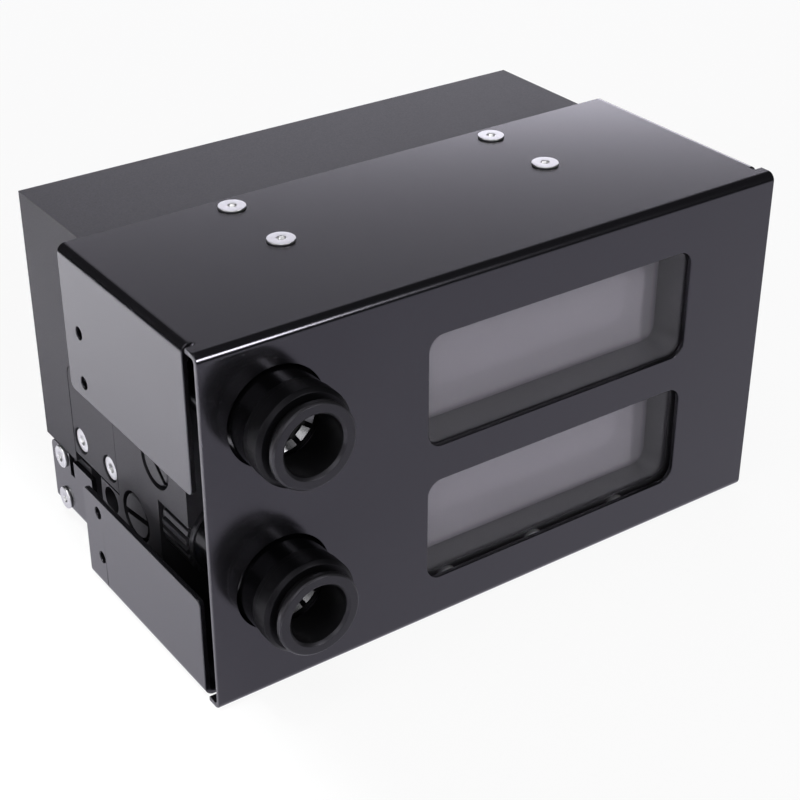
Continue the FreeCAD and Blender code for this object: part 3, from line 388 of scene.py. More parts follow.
# %% Clear acrylic
clear_acrylic, clear_tree, clear_shader, _ = new_finish(
    "clear_acrylic", colour=(0.93, 0.93, 0.94), worn_colour=(0.90, 0.90, 0.91),
    gloss=(0.02, 0.04), grain_scale=1800.0, grain_depth=0.0, ior=1.04)
clear_shader.inputs["Transmission Weight"].default_value = 1.0
clear_shader.inputs["Coat Weight"].default_value = 0.72
clear_shader.inputs["Coat Roughness"].default_value = 0.18
lamp_rays = add_node(clear_tree, "ShaderNodeLightPath").outputs["Is Shadow Ray"]
let_through = add_node(clear_tree, "ShaderNodeBsdfTransparent")
clear_mix = add_node(clear_tree, "ShaderNodeMixShader", {
    0: lamp_rays, 1: clear_shader.outputs[0], 2: let_through.outputs[0]})
feed(clear_tree, clear_tree.nodes["Material Output"].inputs["Surface"], clear_mix.outputs[0])
print("clear block", clear_acrylic.name)

# %% [markdown]
# ## Helpers for pieces
# A CAD solid has knife-sharp edges, and real edges are broken, so they catch a thin line
# of light. One helper rounds a mesh's sharp edges with a Bevel modifier and weights its
# normals, so flat faces stay flat. Another shows a mesh as a piece of the reservoir.

# %% Helpers for pieces
FRONT_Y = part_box("front_cover")[0][1]
SHARP_ANGLE = math.radians(30)
ROUND_SEGMENTS = 2
LARGE_FACES_RULE = 100


def at(x, y, z):
    """Turn millimetres, with y counted back from the front panel, into the frame's metres."""
    return Vector((x * MM, FRONT_Y + y * MM, z * MM))


def evaluated(source, add_modifiers=None):
    """Return the plain mesh that an object of this data and its modifiers makes."""
    helper = bpy.data.objects.new("helper", source)
    scene.collection.objects.link(helper)
    if add_modifiers:
        add_modifiers(helper)
    graph = bpy.context.evaluated_depsgraph_get()
    made = bpy.data.meshes.new_from_object(helper.evaluated_get(graph),
                                           preserve_all_data_layers=True, depsgraph=graph)
    bpy.data.objects.remove(helper)
    return made


def softened(mesh, width=0.0):
    """Round a mesh's sharp edges by a width in millimetres and weight its normals by area."""
    def add_modifiers(helper):
        if width:
            rounding = helper.modifiers.new("edges", "BEVEL")
            rounding.width = width * MM
            rounding.segments = ROUND_SEGMENTS
            rounding.limit_method = "ANGLE"
            rounding.angle_limit = SHARP_ANGLE
        weights = helper.modifiers.new("normals", "WEIGHTED_NORMAL")
        weights.weight = LARGE_FACES_RULE
        weights.keep_sharp = True

    for face in mesh.polygons:
        face.use_smooth = True
    return evaluated(mesh, add_modifiers)


def make_piece(name, mesh, finish, nodes, body=TANK):
    """Show a finished mesh as a piece that stands for CAD nodes and moves with a body."""
    mesh.name = name
    mesh.materials.clear()
    mesh.materials.append(finish)
    piece = bpy.data.objects.new(name, mesh)
    scene.collection.objects.link(piece)
    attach(piece, body)
    if nodes:
        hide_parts(*nodes)
    print(name, len(mesh.polygons), "faces")


print("front panel at", round(FRONT_Y / MM, 2))

# %% [markdown]
# ## The folded cover
# The real cover starts as a flat sheet with windows and holes cut out, and is then folded:
# top and bottom plates from the front panel, side flanges from the plates. The mesh is
# made the same way. A flat curve gives the blank with its broken edges, cuts divide it
# along the bends, and one function rolls each point round the bends. The same function
# gives the normals of both sides, so large flat faces stay free of shading errors.

# %% Rounded outlines
def round_corner(before, corner, after, radius, steps):
    """Return the arc that rounds one corner of an outline of complex numbers."""
    first, last = before - corner, after - corner
    first, last = first / abs(first), last / abs(last)
    turn = cmath.phase(last / first)
    side = math.copysign(1, turn)
    start = corner + first * radius / abs(math.tan(turn / 2))
    centre = start + first * 1j * side * radius
    sweep = -side * (math.pi - abs(turn))
    return [centre + (start - centre) * cmath.exp(1j * sweep * step / steps)
            for step in range(steps + 1)]


def smooth_outline(corners, steps):
    """Return an outline through (x, y, radius) corners, each rounded by its own radius."""
    spots = [complex(x, y) for x, y, _ in corners]
    points = []
    for index, (_, _, radius) in enumerate(corners):
        after = spots[(index + 1) % len(spots)]
        if radius:
            points += round_corner(spots[index - 1], spots[index], after, radius, steps)
        else:
            points.append(spots[index])
    return points


def circle(x, y, radius, steps):
    """Return a circle's points."""
    return [complex(x, y) + cmath.rect(radius, 2 * math.pi * step / steps)
            for step in range(steps)]


print("outline helpers ready")

# %% Outline of the blank
SHEET = 1.2
HALF_WIDTH, HEIGHT, DEPTH = 73.0, 82.4, 57.9
UPPER_DROP, LOWER_DROP = 33.3, 24.1
RELIEF_CUT = (4.2, 5.7)
RELIEF_OVERCUT = 0.4
CORNER, CORNER_STEPS = 1.5, 5
BEND_INNER = 0.8
BEND_OUTER = BEND_INNER + SHEET
BEND_RADIUS = BEND_INNER + SHEET / 2
BEND_ARC = BEND_RADIUS * math.pi / 2
FLAT_HALF = HEIGHT / 2 - BEND_OUTER
FLANGE_FLAT = HALF_WIDTH - BEND_OUTER


def along(y):
    """Return how far a plate's point at depth y lies from the middle of the blank."""
    return FLAT_HALF + BEND_ARC + y - BEND_OUTER


def across(drop):
    """Return how far out on the blank a flange's point lies, by its distance from the plate."""
    return FLANGE_FLAT + BEND_ARC + drop - BEND_OUTER


def half_outline(side):
    """Return one side of the blank's outline, from the bottom plate's back to the top plate's."""
    near, far = RELIEF
    notch = FLANGE_FLAT - RELIEF_OVERCUT
    lower, upper = across(LOWER_DROP), across(UPPER_DROP)
    corners = [(lower, -PLATE_END, CORNER), (lower, -far, CORNER), (notch, -far, 0),
               (notch, -near, 0), (HALF_WIDTH, -near, 0), (HALF_WIDTH, near, 0),
               (notch, near, 0), (notch, far, 0), (upper, far, CORNER), (upper, PLATE_END, CORNER)]
    return [(side * x, s, radius) for x, s, radius in corners]


PLATE_END = along(DEPTH)
RELIEF = [along(y) for y in RELIEF_CUT]
outer = smooth_outline(half_outline(1) + half_outline(-1)[::-1], CORNER_STEPS)
print("blank reaches", round(across(UPPER_DROP), 3), "across and", round(PLATE_END, 3), "along")

# %% Windows and holes of the blank
WINDOWS = {"upper": (44.1, 70.1), "lower": (10.7, 35.7)}
WINDOW_LEFT, WINDOW_RIGHT = -21.1, 49.6
WINDOW_CORNER, WINDOW_STEPS = 3.5, 10
FITTING_X = -56.7
FITTING_HEIGHTS = {"upper": 64.5, "lower": 25.8}
FITTING_HOLE, FITTING_HOLE_STEPS = 10.8, 72
SCREW_X = 34.6
TOP_SCREW_DEPTHS, TOP_HOLE = (33.2, 53), 1.6
BOTTOM_SCREW_DEPTHS, BOTTOM_HOLE = (42.4, 54.4), 2.85
UPPER_FLANGE_HOLES, LOWER_FLANGE_HOLES = (53, 64.8), (8.5, 20.3)
FLANGE_HOLE_DEPTH, FLANGE_HOLE = 51.1, 1.45
SCREW_HOLE_STEPS = 24


def window_outline(low, high, inset):
    """Return one window's outline, made smaller all round by the inset."""
    left, right = WINDOW_LEFT + inset, WINDOW_RIGHT - inset
    low, high, corner = low + inset, high - inset, WINDOW_CORNER - inset
    corners = [(left, low, corner), (right, low, corner), (right, high, corner),
               (left, high, corner)]
    return smooth_outline(corners, WINDOW_STEPS)


def cover_holes():
    """Return the outlines of the windows, the fitting holes and the screw holes."""
    middle = HEIGHT / 2
    holes = [[spot - middle * 1j for spot in window_outline(low, high, 0)]
             for low, high in WINDOWS.values()]
    holes += [circle(FITTING_X, z - middle, FITTING_HOLE, FITTING_HOLE_STEPS)
              for z in FITTING_HEIGHTS.values()]
    flange_hole = along(FLANGE_HOLE_DEPTH)
    small = [(SCREW_X, along(y), TOP_HOLE) for y in TOP_SCREW_DEPTHS]
    small += [(SCREW_X, -along(y), BOTTOM_HOLE) for y in BOTTOM_SCREW_DEPTHS]
    small += [(across(HEIGHT - z), flange_hole, FLANGE_HOLE) for z in UPPER_FLANGE_HOLES]
    small += [(across(z), -flange_hole, FLANGE_HOLE) for z in LOWER_FLANGE_HOLES]
    for side in (-1, 1):
        holes += [circle(side * x, s, radius, SCREW_HOLE_STEPS) for x, s, radius in small]
    return holes


print("holes in the blank", len(cover_holes()))

# %% Cut the blank and its bend lines
SHEET_EDGE = 0.16
BEND_STEPS = 12
MERGE_DISTANCE = 1e-4
CUT_TOLERANCE = 1e-5


def sheet_blank(outlines, thickness, edge):
    """Return a flat sheet with broken edges, cut to outlines in millimetres."""
    curve = bpy.data.curves.new("blank", "CURVE")
    curve.dimensions = "2D"
    curve.fill_mode = "BOTH"
    curve.extrude = thickness / 2 - edge
    curve.bevel_depth = edge
    curve.bevel_resolution = 1
    curve.offset = -edge
    for outline in outlines:
        spline = curve.splines.new("POLY")
        spline.points.add(len(outline) - 1)
        for point, spot in zip(spline.points, outline):
            point.co = (spot.real, spot.imag, 0, 1)
        spline.use_cyclic_u = True
    shape = bmesh.new()
    shape.from_mesh(evaluated(curve))
    bmesh.ops.remove_doubles(shape, verts=shape.verts, dist=MERGE_DISTANCE)
    return shape


blank = sheet_blank([outer] + [hole[::-1] for hole in cover_holes()], SHEET, SHEET_EDGE)
for flat, axis in ((FLAT_HALF, 1), (FLANGE_FLAT, 0)):
    for side in (-1, 1):
        for step in range(BEND_STEPS + 1):
            cut_place, cut_normal = Vector((0, 0, 0)), Vector((0, 0, 0))
            cut_place[axis] = side * (flat + BEND_ARC * step / BEND_STEPS)
            cut_normal[axis] = 1
            everything = blank.verts[:] + blank.edges[:] + blank.faces[:]
            bmesh.ops.bisect_plane(blank, geom=everything, dist=CUT_TOLERANCE,
                                   plane_co=cut_place, plane_no=cut_normal)
bmesh.ops.recalc_face_normals(blank, faces=blank.faces)
print("blank has", len(blank.faces), "faces")

# %% Fold the blank
FLANGES_BEGIN = RELIEF[0] + 0.5
FLAT_SIDE = SHEET / 2 - 0.001
PROBE = 0.1


def roll(length, height, flat):
    """Roll a strip's point round a bend after its flat: return how far out and up it ends."""
    if length <= flat:
        return length, height
    angle = min((length - flat) / BEND_RADIUS, math.pi / 2)
    past = max(length - flat - BEND_ARC, 0)
    reach = BEND_RADIUS + height
    return (flat + reach * math.sin(angle) + past * math.cos(angle),
            -BEND_RADIUS + reach * math.cos(angle) - past * math.sin(angle))


def fold(point):
    """Take a point of the flat blank to its place on the folded cover, in metres."""
    x, s, w = point
    if abs(s) > FLANGES_BEGIN:
        reach, w = roll(abs(x), w, FLANGE_FLAT)
        x = math.copysign(reach, x)
    up, out = roll(abs(s), w, FLAT_HALF)
    return at(x, SHEET / 2 - out, HEIGHT / 2 + math.copysign(up, s))


sheet_normals = []
for face in blank.faces:
    face.smooth = True
    levels = [corner.vert.co.z for corner in face.loops]
    is_side = min(levels) > FLAT_SIDE or max(levels) < -FLAT_SIDE
    outward = Vector((0, 0, math.copysign(PROBE, levels[0])))
    for corner in face.loops:
        flat_spot = corner.vert.co
        rise = fold(flat_spot + outward) - fold(flat_spot)
        sheet_normals.append(rise.normalized() if is_side else Vector((0, 0, 0)))
for vertex in blank.verts:
    vertex.co = fold(vertex.co)
cover_mesh = bpy.data.meshes.new("folded_cover")
blank.to_mesh(cover_mesh)
cover_mesh.normals_split_custom_set(sheet_normals)
print("cover volume", round(blank.calc_volume() / MM ** 3, 1), "cubic millimetres")
blank.free()
make_piece("folded_cover", cover_mesh, black_coat, ["front_cover"])

# %% [markdown]
# ## Machined and folded blocks
# The tank, frames, side cover, bracket, foot blocks and plugs have the right shape in the
# CAD model. They could be modelled again, but a copy of each node with merged points,
# joined flat faces and rounded edges is exact. The CAD mesh itself stays untouched.

# %% Copies with broken edges
COPY_MERGE = 0.002 * MM
FLAT_ANGLE = math.radians(0.2)
PLUG_EDGE = 0.15


def cad_copy(node):
    """Return a node's mesh with its points merged and its flat faces joined."""
    shape = bmesh.new()
    shape.from_mesh(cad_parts[node].data)
    bmesh.ops.remove_doubles(shape, verts=shape.verts, dist=COPY_MERGE)
    bmesh.ops.dissolve_limit(shape, angle_limit=FLAT_ANGLE, verts=shape.verts, edges=shape.edges)
    mesh = bpy.data.meshes.new(node)
    shape.to_mesh(mesh)
    shape.free()
    if mesh.has_custom_normals:
        mesh.attributes.remove(mesh.attributes["custom_normal"])
    return mesh


BLOCKS = [
    ("machined_tank", "tank_body", 0.25, black_acetal, "black_acetal"),
    ("upper_milled_frame", "upper_window_frame", 0.25, black_acetal, "black_acetal"),
    ("lower_milled_frame", "lower_window_frame", 0.25, black_acetal, "black_acetal"),
    ("side_cover_plate", "side_cover", 0.2, black_acetal, "black_acetal"),
    ("folded_bracket", "rear_bracket", 0.15, black_coat, "black_coat"),
    ("left_spacer_block", "left_foot_block", 0.3, black_acetal, "black_acetal"),
    ("right_spacer_block", "right_foot_block", 0.3, black_acetal, "black_acetal"),
    ("ribbed_adapter", "extension_adapter", 0.1, black_plating, "black_plating"),
]
for name, node, width, finish, slot in BLOCKS:
    make_piece(name, softened(cad_copy(node), width), finish, [node])
for which in ("upper", "lower"):
    make_piece(f"{which}_slotted_plug", softened(cad_copy(f"{which}_side_plug"), PLUG_EDGE),
               black_plating, [f"{which}_side_plug"], f"{which}_plug")

# %% [markdown]
# ## Sight glasses
# Each sight glass is a pane against the tank with a thick clear block in front of it, which
# fills the window. Both are cut from flat outlines like the cover's blank.

# %% Panes and clear blocks
PANE_HEIGHTS = {"upper": (40.2, 77.5), "lower": (3.3, 39.6)}
PANE_LEFT, PANE_RIGHT = -30.1, 58.6
PANE_CORNER, PANE_STEPS = 2, 6
PANE_FRONT, PANE_BACK, PANE_EDGE = 11, 16, 0.2
BLOCK_FRONTS = {"upper": 1.1, "lower": 2.0}
BLOCK_BACK, BLOCK_EDGE, BLOCK_GAP = 10.98, 0.25, 0.3


def upright_slab(outline, front, back, edge):
    """Stand a flat cut slab upright behind the front panel, between two depths."""
    slab = sheet_blank([outline], back - front, edge)
    for vertex in slab.verts:
        x, z, forward = vertex.co
        vertex.co = at(x, (front + back) / 2 - forward, z)
    bmesh.ops.recalc_face_normals(slab, faces=slab.faces)
    mesh = bpy.data.meshes.new("slab")
    slab.to_mesh(mesh)
    slab.free()
    return softened(mesh)


for which, (low, high) in WINDOWS.items():
    pane_low, pane_high = PANE_HEIGHTS[which]
    pane_outline = smooth_outline(
        [(PANE_LEFT, pane_low, PANE_CORNER), (PANE_RIGHT, pane_low, PANE_CORNER),
         (PANE_RIGHT, pane_high, PANE_CORNER), (PANE_LEFT, pane_high, PANE_CORNER)], PANE_STEPS)
    make_piece(f"{which}_grey_pane", upright_slab(pane_outline, PANE_FRONT, PANE_BACK, PANE_EDGE),
               panes[which], [f"{which}_sight_glass"])
    block = upright_slab(window_outline(low, high, BLOCK_GAP), BLOCK_FRONTS[which], BLOCK_BACK,
                         BLOCK_EDGE)
    make_piece(f"{which}_clear_block", block, clear_acrylic, [])

# %% [markdown]
# ## Push-in tube fittings
# A fitting is turned: a collar, a smooth body with a raised band, and a release collet
# whose flange stands in front. Each is one outline spun round the fitting's axis, with
# its corners rounded first, because the gloss shows every edge as a thin bright arc.

# %% Turned fittings
SEGMENTS = 128
TURNED_STEPS = 4
SEAT_DEPTH = 20


def turned(outline, centre):
    """Spin an outline of radius and height round an axis that points out of the front panel."""
    verts, faces = [], []
    count = len(outline)
    for segment in range(SEGMENTS):
        turn = 2 * math.pi * segment / SEGMENTS
        for point in outline:
            spoke = (point.real * math.cos(turn), -point.imag, point.real * math.sin(turn))
            verts.append(centre + Vector(spoke) * MM)
        start, following = segment * count, (segment + 1) % SEGMENTS * count
        for index in range(count):
            after = (index + 1) % count
            faces.append((start + index, start + after, following + after, following + index))
    mesh = bpy.data.meshes.new("turned")
    mesh.from_pydata(verts, [], faces)
    shape = bmesh.new()
    shape.from_mesh(mesh)
    bmesh.ops.recalc_face_normals(shape, faces=shape.faces)
    shape.to_mesh(mesh)
    shape.free()
    return softened(mesh)


# Each corner is a radius, a height over the seat in the tank, and a rounding.
BODY_CORNERS = [
    (4.6, -5.0, 0), (5.7, -5.0, 0), (6.5, -4.2, 0), (6.5, 1.5, 0), (8.7, 1.5, 0), (8.7, 0.0, 0),
    (9.4, 0.0, 0.1), (9.4, 8.0, 0), (10.3, 8.0, 0.3), (10.3, 26.4, 0.08), (10.5, 26.4, 0.1),
    (10.5, 29.6, 0.35), (9.7, 30.4, 0.35), (8.05, 30.4, 0.15), (8.05, 27.9, 0), (8.9, 27.9, 0),
    (8.9, 16.9, 0), (6.5, 16.9, 0), (6.5, 11.9, 0), (4.6, 11.9, 0)]
COLLET_CORNERS = [
    (6.5, 24.15, 0), (8.0, 24.15, 0.1), (8.0, 26.35, 0), (8.6, 26.35, 0.1), (8.6, 27.85, 0.1),
    (8.0, 27.85, 0), (8.0, 32.1, 0), (9.2, 32.1, 0.2), (9.2, 33.2, 0.35), (8.8, 33.6, 0.25),
    (7.1, 33.6, 0.25), (6.5, 33.0, 0.25)]
body_outline = smooth_outline(BODY_CORNERS, TURNED_STEPS)
collet_outline = smooth_outline(COLLET_CORNERS, TURNED_STEPS)
for which, fitting_height in FITTING_HEIGHTS.items():
    seat = at(FITTING_X, SEAT_DEPTH, fitting_height)
    make_piece(f"{which}_turned_fitting", turned(body_outline, seat), gloss_black,
               [f"{which}_fitting_body"])
    make_piece(f"{which}_release_collet_ring", turned(collet_outline, seat), collet_black,
               [f"{which}_collet"], f"{which}_release_collet")

# %% [markdown]
# ## Screws
# The reservoir has eight sets of socket screws. They repeat, so one Geometry Nodes tree
# makes them all: a grid is rolled up into a turned screw, its socket points are pushed out
# to a hexagon, and the screw is placed on each point of a set with a turn of its own.

# %% Inputs of the screw tree
SCREW_SIZES = [("Head Radius", 2.9), ("Head Height", 1.6), ("Edge Round", 0.35),
               ("Cone Depth", 0.0), ("Shank Radius", 1.25), ("Shank Length", 8.0),
               ("Socket Radius", 1.0), ("Socket Depth", 0.9)]

screw_tree = bpy.data.node_groups.new("socket_screws", "GeometryNodeTree")
screw_tree.is_modifier = True
sockets = screw_tree.interface
sockets.new_socket("Places", in_out="INPUT", socket_type="NodeSocketGeometry")
for size_name, millimetres in SCREW_SIZES:
    size_socket = sockets.new_socket(size_name, in_out="INPUT", socket_type=FLOAT)
    size_socket.default_value = millimetres * MM
sockets.new_socket("Axis", in_out="INPUT", socket_type=VECTOR)
sockets.new_socket("Seed", in_out="INPUT", socket_type="NodeSocketInt")
sockets.new_socket("Finish", in_out="INPUT", socket_type="NodeSocketMaterial")
sockets.new_socket("Screws", in_out="OUTPUT", socket_type="NodeSocketGeometry")
given = screw_tree.nodes.new("NodeGroupInput").outputs
print("screw tree takes", [item.name for item in sockets.items_tree if item.in_out == "INPUT"])

# %% Profile of a screw
CHAMFER = 0.15 * MM
TIP_CHAMFER = 2 * CHAMFER
ROUND_MIDDLE = 0.29


def math_node(operation, *values):
    """Add a Math node to the screw tree and return its result."""
    return calculate(screw_tree, operation, *values)


def sum_of(first, second, share=1.0):
    """Return first plus a share of second, inside the screw tree."""
    return math_node("ADD", first, math_node("MULTIPLY", second, share))


head, top, rounding = given["Head Radius"], given["Head Height"], given["Edge Round"]
shank, socket = given["Shank Radius"], given["Socket Radius"]
tip = math_node("MULTIPLY", given["Shank Length"], -1.0)
under_head = math_node("MULTIPLY", given["Cone Depth"], -1.0)
socket_floor = sum_of(top, given["Socket Depth"], -1.0)
# Each row of the grid has a radius, a height, and how much of a hexagon it is.
PROFILE = [
    (0.0, tip, 0.0),
    (sum_of(shank, TIP_CHAMFER, -1.0), tip, 0.0),
    (shank, sum_of(tip, TIP_CHAMFER), 0.0),
    (shank, under_head, 0.0),
    (head, 0.0, 0.0),
    (head, sum_of(top, rounding, -1.0), 0.0),
    (sum_of(head, rounding, -ROUND_MIDDLE), sum_of(top, rounding, -ROUND_MIDDLE), 0.0),
    (sum_of(head, rounding, -1.0), top, 0.0),
    (sum_of(socket, CHAMFER, 2.2), top, 0.0),
    (sum_of(socket, CHAMFER), sum_of(top, CHAMFER, -0.5), 0.5),
    (socket, sum_of(top, CHAMFER, -1.2), 1.0),
    (socket, socket_floor, 1.0),
    (0.0, sum_of(socket_floor, CHAMFER, -1.5), 0.0),
]
print("screw profile has", len(PROFILE), "rows")

# %% Roll the grid into a screw
AROUND = 48
HEXAGON_SIDE = math.pi / 3
SCREW_MERGE = 0.001 * MM


def pick(grid_row, values):
    """Return the value that belongs to a row of the grid."""
    switch = add_node(screw_tree, "GeometryNodeIndexSwitch", {0: grid_row}, data_type="FLOAT")
    while len(switch.index_switch_items) < len(values):
        switch.index_switch_items.new()
    for number, value in enumerate(values, start=1):
        feed(screw_tree, switch.inputs[number], value)
    return switch.outputs[0]


radii, heights, hexagonal = zip(*PROFILE)
grid = add_node(screw_tree, "GeometryNodeMeshGrid", {
    "Size X": 1.0, "Size Y": 1.0, "Vertices X": AROUND + 1, "Vertices Y": len(PROFILE)})
position = add_node(screw_tree, "GeometryNodeInputPosition").outputs[0]
grid_place = add_node(screw_tree, "ShaderNodeSeparateXYZ", {0: position}).outputs
angle = math_node("MULTIPLY", sum_of(0.5, grid_place[0]), 2 * math.pi)
row = math_node("ROUND", math_node("MULTIPLY", sum_of(0.5, grid_place[1]), len(PROFILE) - 1))
within = math_node("SUBTRACT", math_node("FLOORED_MODULO", angle, HEXAGON_SIDE), HEXAGON_SIDE / 2)
flat_reach = math_node("DIVIDE", 1.0, math_node("COSINE", within))
widening = math_node("MULTIPLY", math_node("SUBTRACT", flat_reach, 1.0), pick(row, hexagonal))
radius = math_node("MULTIPLY", pick(row, radii), sum_of(1.0, widening))
rolled = add_node(screw_tree, "ShaderNodeCombineXYZ", {
    0: math_node("MULTIPLY", radius, math_node("COSINE", angle)),
    1: math_node("MULTIPLY", radius, math_node("SINE", angle)),
    2: pick(row, heights)})
screw = add_node(screw_tree, "GeometryNodeSetPosition", {
    "Geometry": grid.outputs[0], "Position": rolled.outputs[0]})
closed = add_node(screw_tree, "GeometryNodeMergeByDistance", {
    "Geometry": screw.outputs[0], "Distance": SCREW_MERGE})
print("screw rolled from", AROUND, "by", len(PROFILE), "points")

# %% Put a screw on each point
random_turn = add_node(screw_tree, "FunctionNodeRandomValue", {
    "Min": 0.0, "Max": 2 * math.pi, "Seed": given["Seed"]}, data_type="FLOAT")
upright = add_node(screw_tree, "FunctionNodeAlignRotationToVector", {
    "Vector": given["Axis"]}, axis="Z")
spin = add_node(screw_tree, "FunctionNodeAxisAngleToRotation", {
    "Axis": (0, 0, 1), "Angle": next(turn for turn in random_turn.outputs if turn.enabled)})
rotation = add_node(screw_tree, "FunctionNodeRotateRotation", {
    0: upright.outputs[0], 1: spin.outputs[0]}, rotation_space="LOCAL")
placed = add_node(screw_tree, "GeometryNodeInstanceOnPoints", {
    "Points": given["Places"], "Instance": closed.outputs[0], "Rotation": rotation.outputs[0]})
realized = add_node(screw_tree, "GeometryNodeRealizeInstances", {0: placed.outputs[0]})
coloured = add_node(screw_tree, "GeometryNodeSetMaterial", {
    "Geometry": realized.outputs[0], "Material": given["Finish"]})
feed(screw_tree, screw_tree.nodes.new("NodeGroupOutput").inputs[0], coloured.outputs[0])
print("screw tree has", len(screw_tree.nodes), "nodes")

# %% [markdown]
# ## Sets of screws
# Each set is a handful of points, an axis and the sizes of its screws. The tree runs as a
# modifier, its result becomes a plain mesh, and that mesh stands for the CAD screws.

# %% A set of screws
def screw_set(name, node, places, axis, **sizes):
    """Make one set of screws from points in millimetres, with sizes in millimetres."""
    points = bpy.data.meshes.new(f"{name}_places")
    points.from_pydata([at(*place) for place in places], [], [])
    values = {size.replace("_", " ").title(): value * MM for size, value in sizes.items()}
    values.update({"Axis": axis, "Seed": len(name), "Finish": steel})

    def add_modifiers(helper):
        modifier = helper.modifiers.new("screws", "NODES")
        modifier.node_group = screw_tree
        for item in screw_tree.interface.items_tree:
            if item.name in values:
                modifier[item.identifier] = values[item.name]

    make_piece(name, softened(evaluated(points, add_modifiers)), steel, [node])


UP, DOWN, FORWARD, LEFT = (0, 0, 1), (0, 0, -1), (0, -1, 0), (-1, 0, 0)
LOW_HEAD = {"head_radius": 3.05, "head_height": 0.5, "edge_round": 0.1, "shank_length": 6.2,
            "socket_radius": 0.8, "socket_depth": 1.0}
EAR_HEAD = {"head_radius": 2.75, "head_height": 0.7, "edge_round": 0.25, "shank_length": 6.2,
            "socket_depth": 0.7}
FLUSH_HEAD = {"head_radius": 2.8, "head_height": 0.02, "edge_round": 0.02, "cone_depth": 1.2,
              "socket_depth": 0.7}
print("screw axes", UP, DOWN, FORWARD, LEFT)

# %% Screws of the plates and the bracket's base
BOTTOM_SCREW_LEVEL = 0.02
BRACKET_SCREW_X, BRACKET_SCREW_DEPTHS, BRACKET_SCREW_LEVEL = 58.3, (73, 79.5), 2.02

screw_set("top_plate_screws", "top_screws",
          [(x, y, HEIGHT) for x in (-SCREW_X, SCREW_X) for y in TOP_SCREW_DEPTHS],
          UP, **LOW_HEAD)
screw_set("bottom_plate_screws", "bottom_screws",
          [(x, y, BOTTOM_SCREW_LEVEL) for x in (-SCREW_X, SCREW_X) for y in BOTTOM_SCREW_DEPTHS],
          DOWN, shank_length=6.2, **FLUSH_HEAD)
screw_set("bracket_screws", "bracket_base_screws",
          [(x, y, BRACKET_SCREW_LEVEL) for x in (-BRACKET_SCREW_X, BRACKET_SCREW_X)
           for y in BRACKET_SCREW_DEPTHS],
          DOWN, shank_length=22.7, **FLUSH_HEAD)

# %% Screws of the windows, the side cover and the bracket's ears
WINDOW_COLUMNS = (-14.05, 10.25, 34.55)
WINDOW_ENDS = (-26.6, 55.1)
# Depth of the heads' seat, height of the row, height of the two ends, length of the shank.
WINDOW_SCREWS = {"upper": (3.5, 73.7, 57.1, 17.5), "lower": (3.2, 7.1, 23.2, 17.8)}
SIDE_SCREW_X, SIDE_SCREW_DEPTHS, SIDE_SCREW_HEIGHT = -65.1, (56, 70.2), 27
EAR_SCREW_X, EAR_SCREW_DEPTH, EAR_SCREW_HEIGHTS = 67, 82, (5.4, 16.9)

for which, (seat_depth, row_height, end_height, length) in WINDOW_SCREWS.items():
    window_places = [(x, seat_depth, row_height) for x in WINDOW_COLUMNS]
    window_places += [(x, seat_depth, end_height) for x in WINDOW_ENDS]
    screw_set(f"{which}_window_screws", f"{which}_frame_screws", window_places, FORWARD,
              shank_length=length)
screw_set("side_plate_screws", "side_cover_screws",
          [(SIDE_SCREW_X, y, SIDE_SCREW_HEIGHT) for y in SIDE_SCREW_DEPTHS], LEFT,
          shank_length=8.1)
for side_name, sign in (("left", -1), ("right", 1)):
    screw_set(f"{side_name}_bracket_screws", f"{side_name}_ear_screws",
              [(sign * EAR_SCREW_X, EAR_SCREW_DEPTH, z) for z in EAR_SCREW_HEIGHTS],
              (sign, 0, 0), **EAR_HEAD)

# %% [markdown]
# ## Finishes for the CAD pieces that stay
# Seals, grip rings and support rings already have the right shape, so they keep their CAD
# meshes and only get a finish.

# %% Finishes of kept nodes
KEPT = {"extension_seal": seal_rubber}
for which in ("upper", "lower"):
    KEPT[f"{which}_grip_ring"] = shaded_grip_steel
    KEPT[f"{which}_support_ring"] = collet_black
    for seal in ("glass_seal", "tube_seal", "seat_seal", "plug_seal"):
        KEPT[f"{which}_{seal}"] = seal_rubber
for node, finish in KEPT.items():
    node_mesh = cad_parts[node].data
    node_mesh.materials.clear()
    node_mesh.materials.append(finish)
print("kept nodes", len(KEPT))

# %% [markdown]
# ## The floor
# The object stands on a white table in a plain studio. The floor shows as white to the
# camera and in reflections, and a small share of its own shading keeps a soft shadow. An
# endless white floor would make every glossy face pale, so in reflections it ends where a
# table would, and it is a little cooler than white there.

# %% Floor
FLOOR_HALF = 30.0
FLOOR_LEVEL = cad_low[2]
FLOOR_GREY, FLOOR_ROUGHNESS = 0.8, 0.9
FLOOR_WHITE = 0.90
TABLE_EDGE = (0.30, 0.62)
BEYOND_TABLE = 0.95
COOL_LIGHT, WHITE_LIGHT = (0.92, 0.90, 1.0), (1.0, 1.0, 1.0)

floor_mesh = bpy.data.meshes.new("floor")
floor_corners = [(x * FLOOR_HALF, y * FLOOR_HALF, FLOOR_LEVEL)
                 for x, y in ((-1, -1), (1, -1), (1, 1), (-1, 1))]
floor_mesh.from_pydata(floor_corners, [], [(0, 1, 2, 3)])
floor = bpy.data.objects.new("floor", floor_mesh)
scene.collection.objects.link(floor)
floor_finish = bpy.data.materials.new("white_floor")
floor_finish.use_nodes = True
floor_mesh.materials.append(floor_finish)
print("floor at", FLOOR_LEVEL)

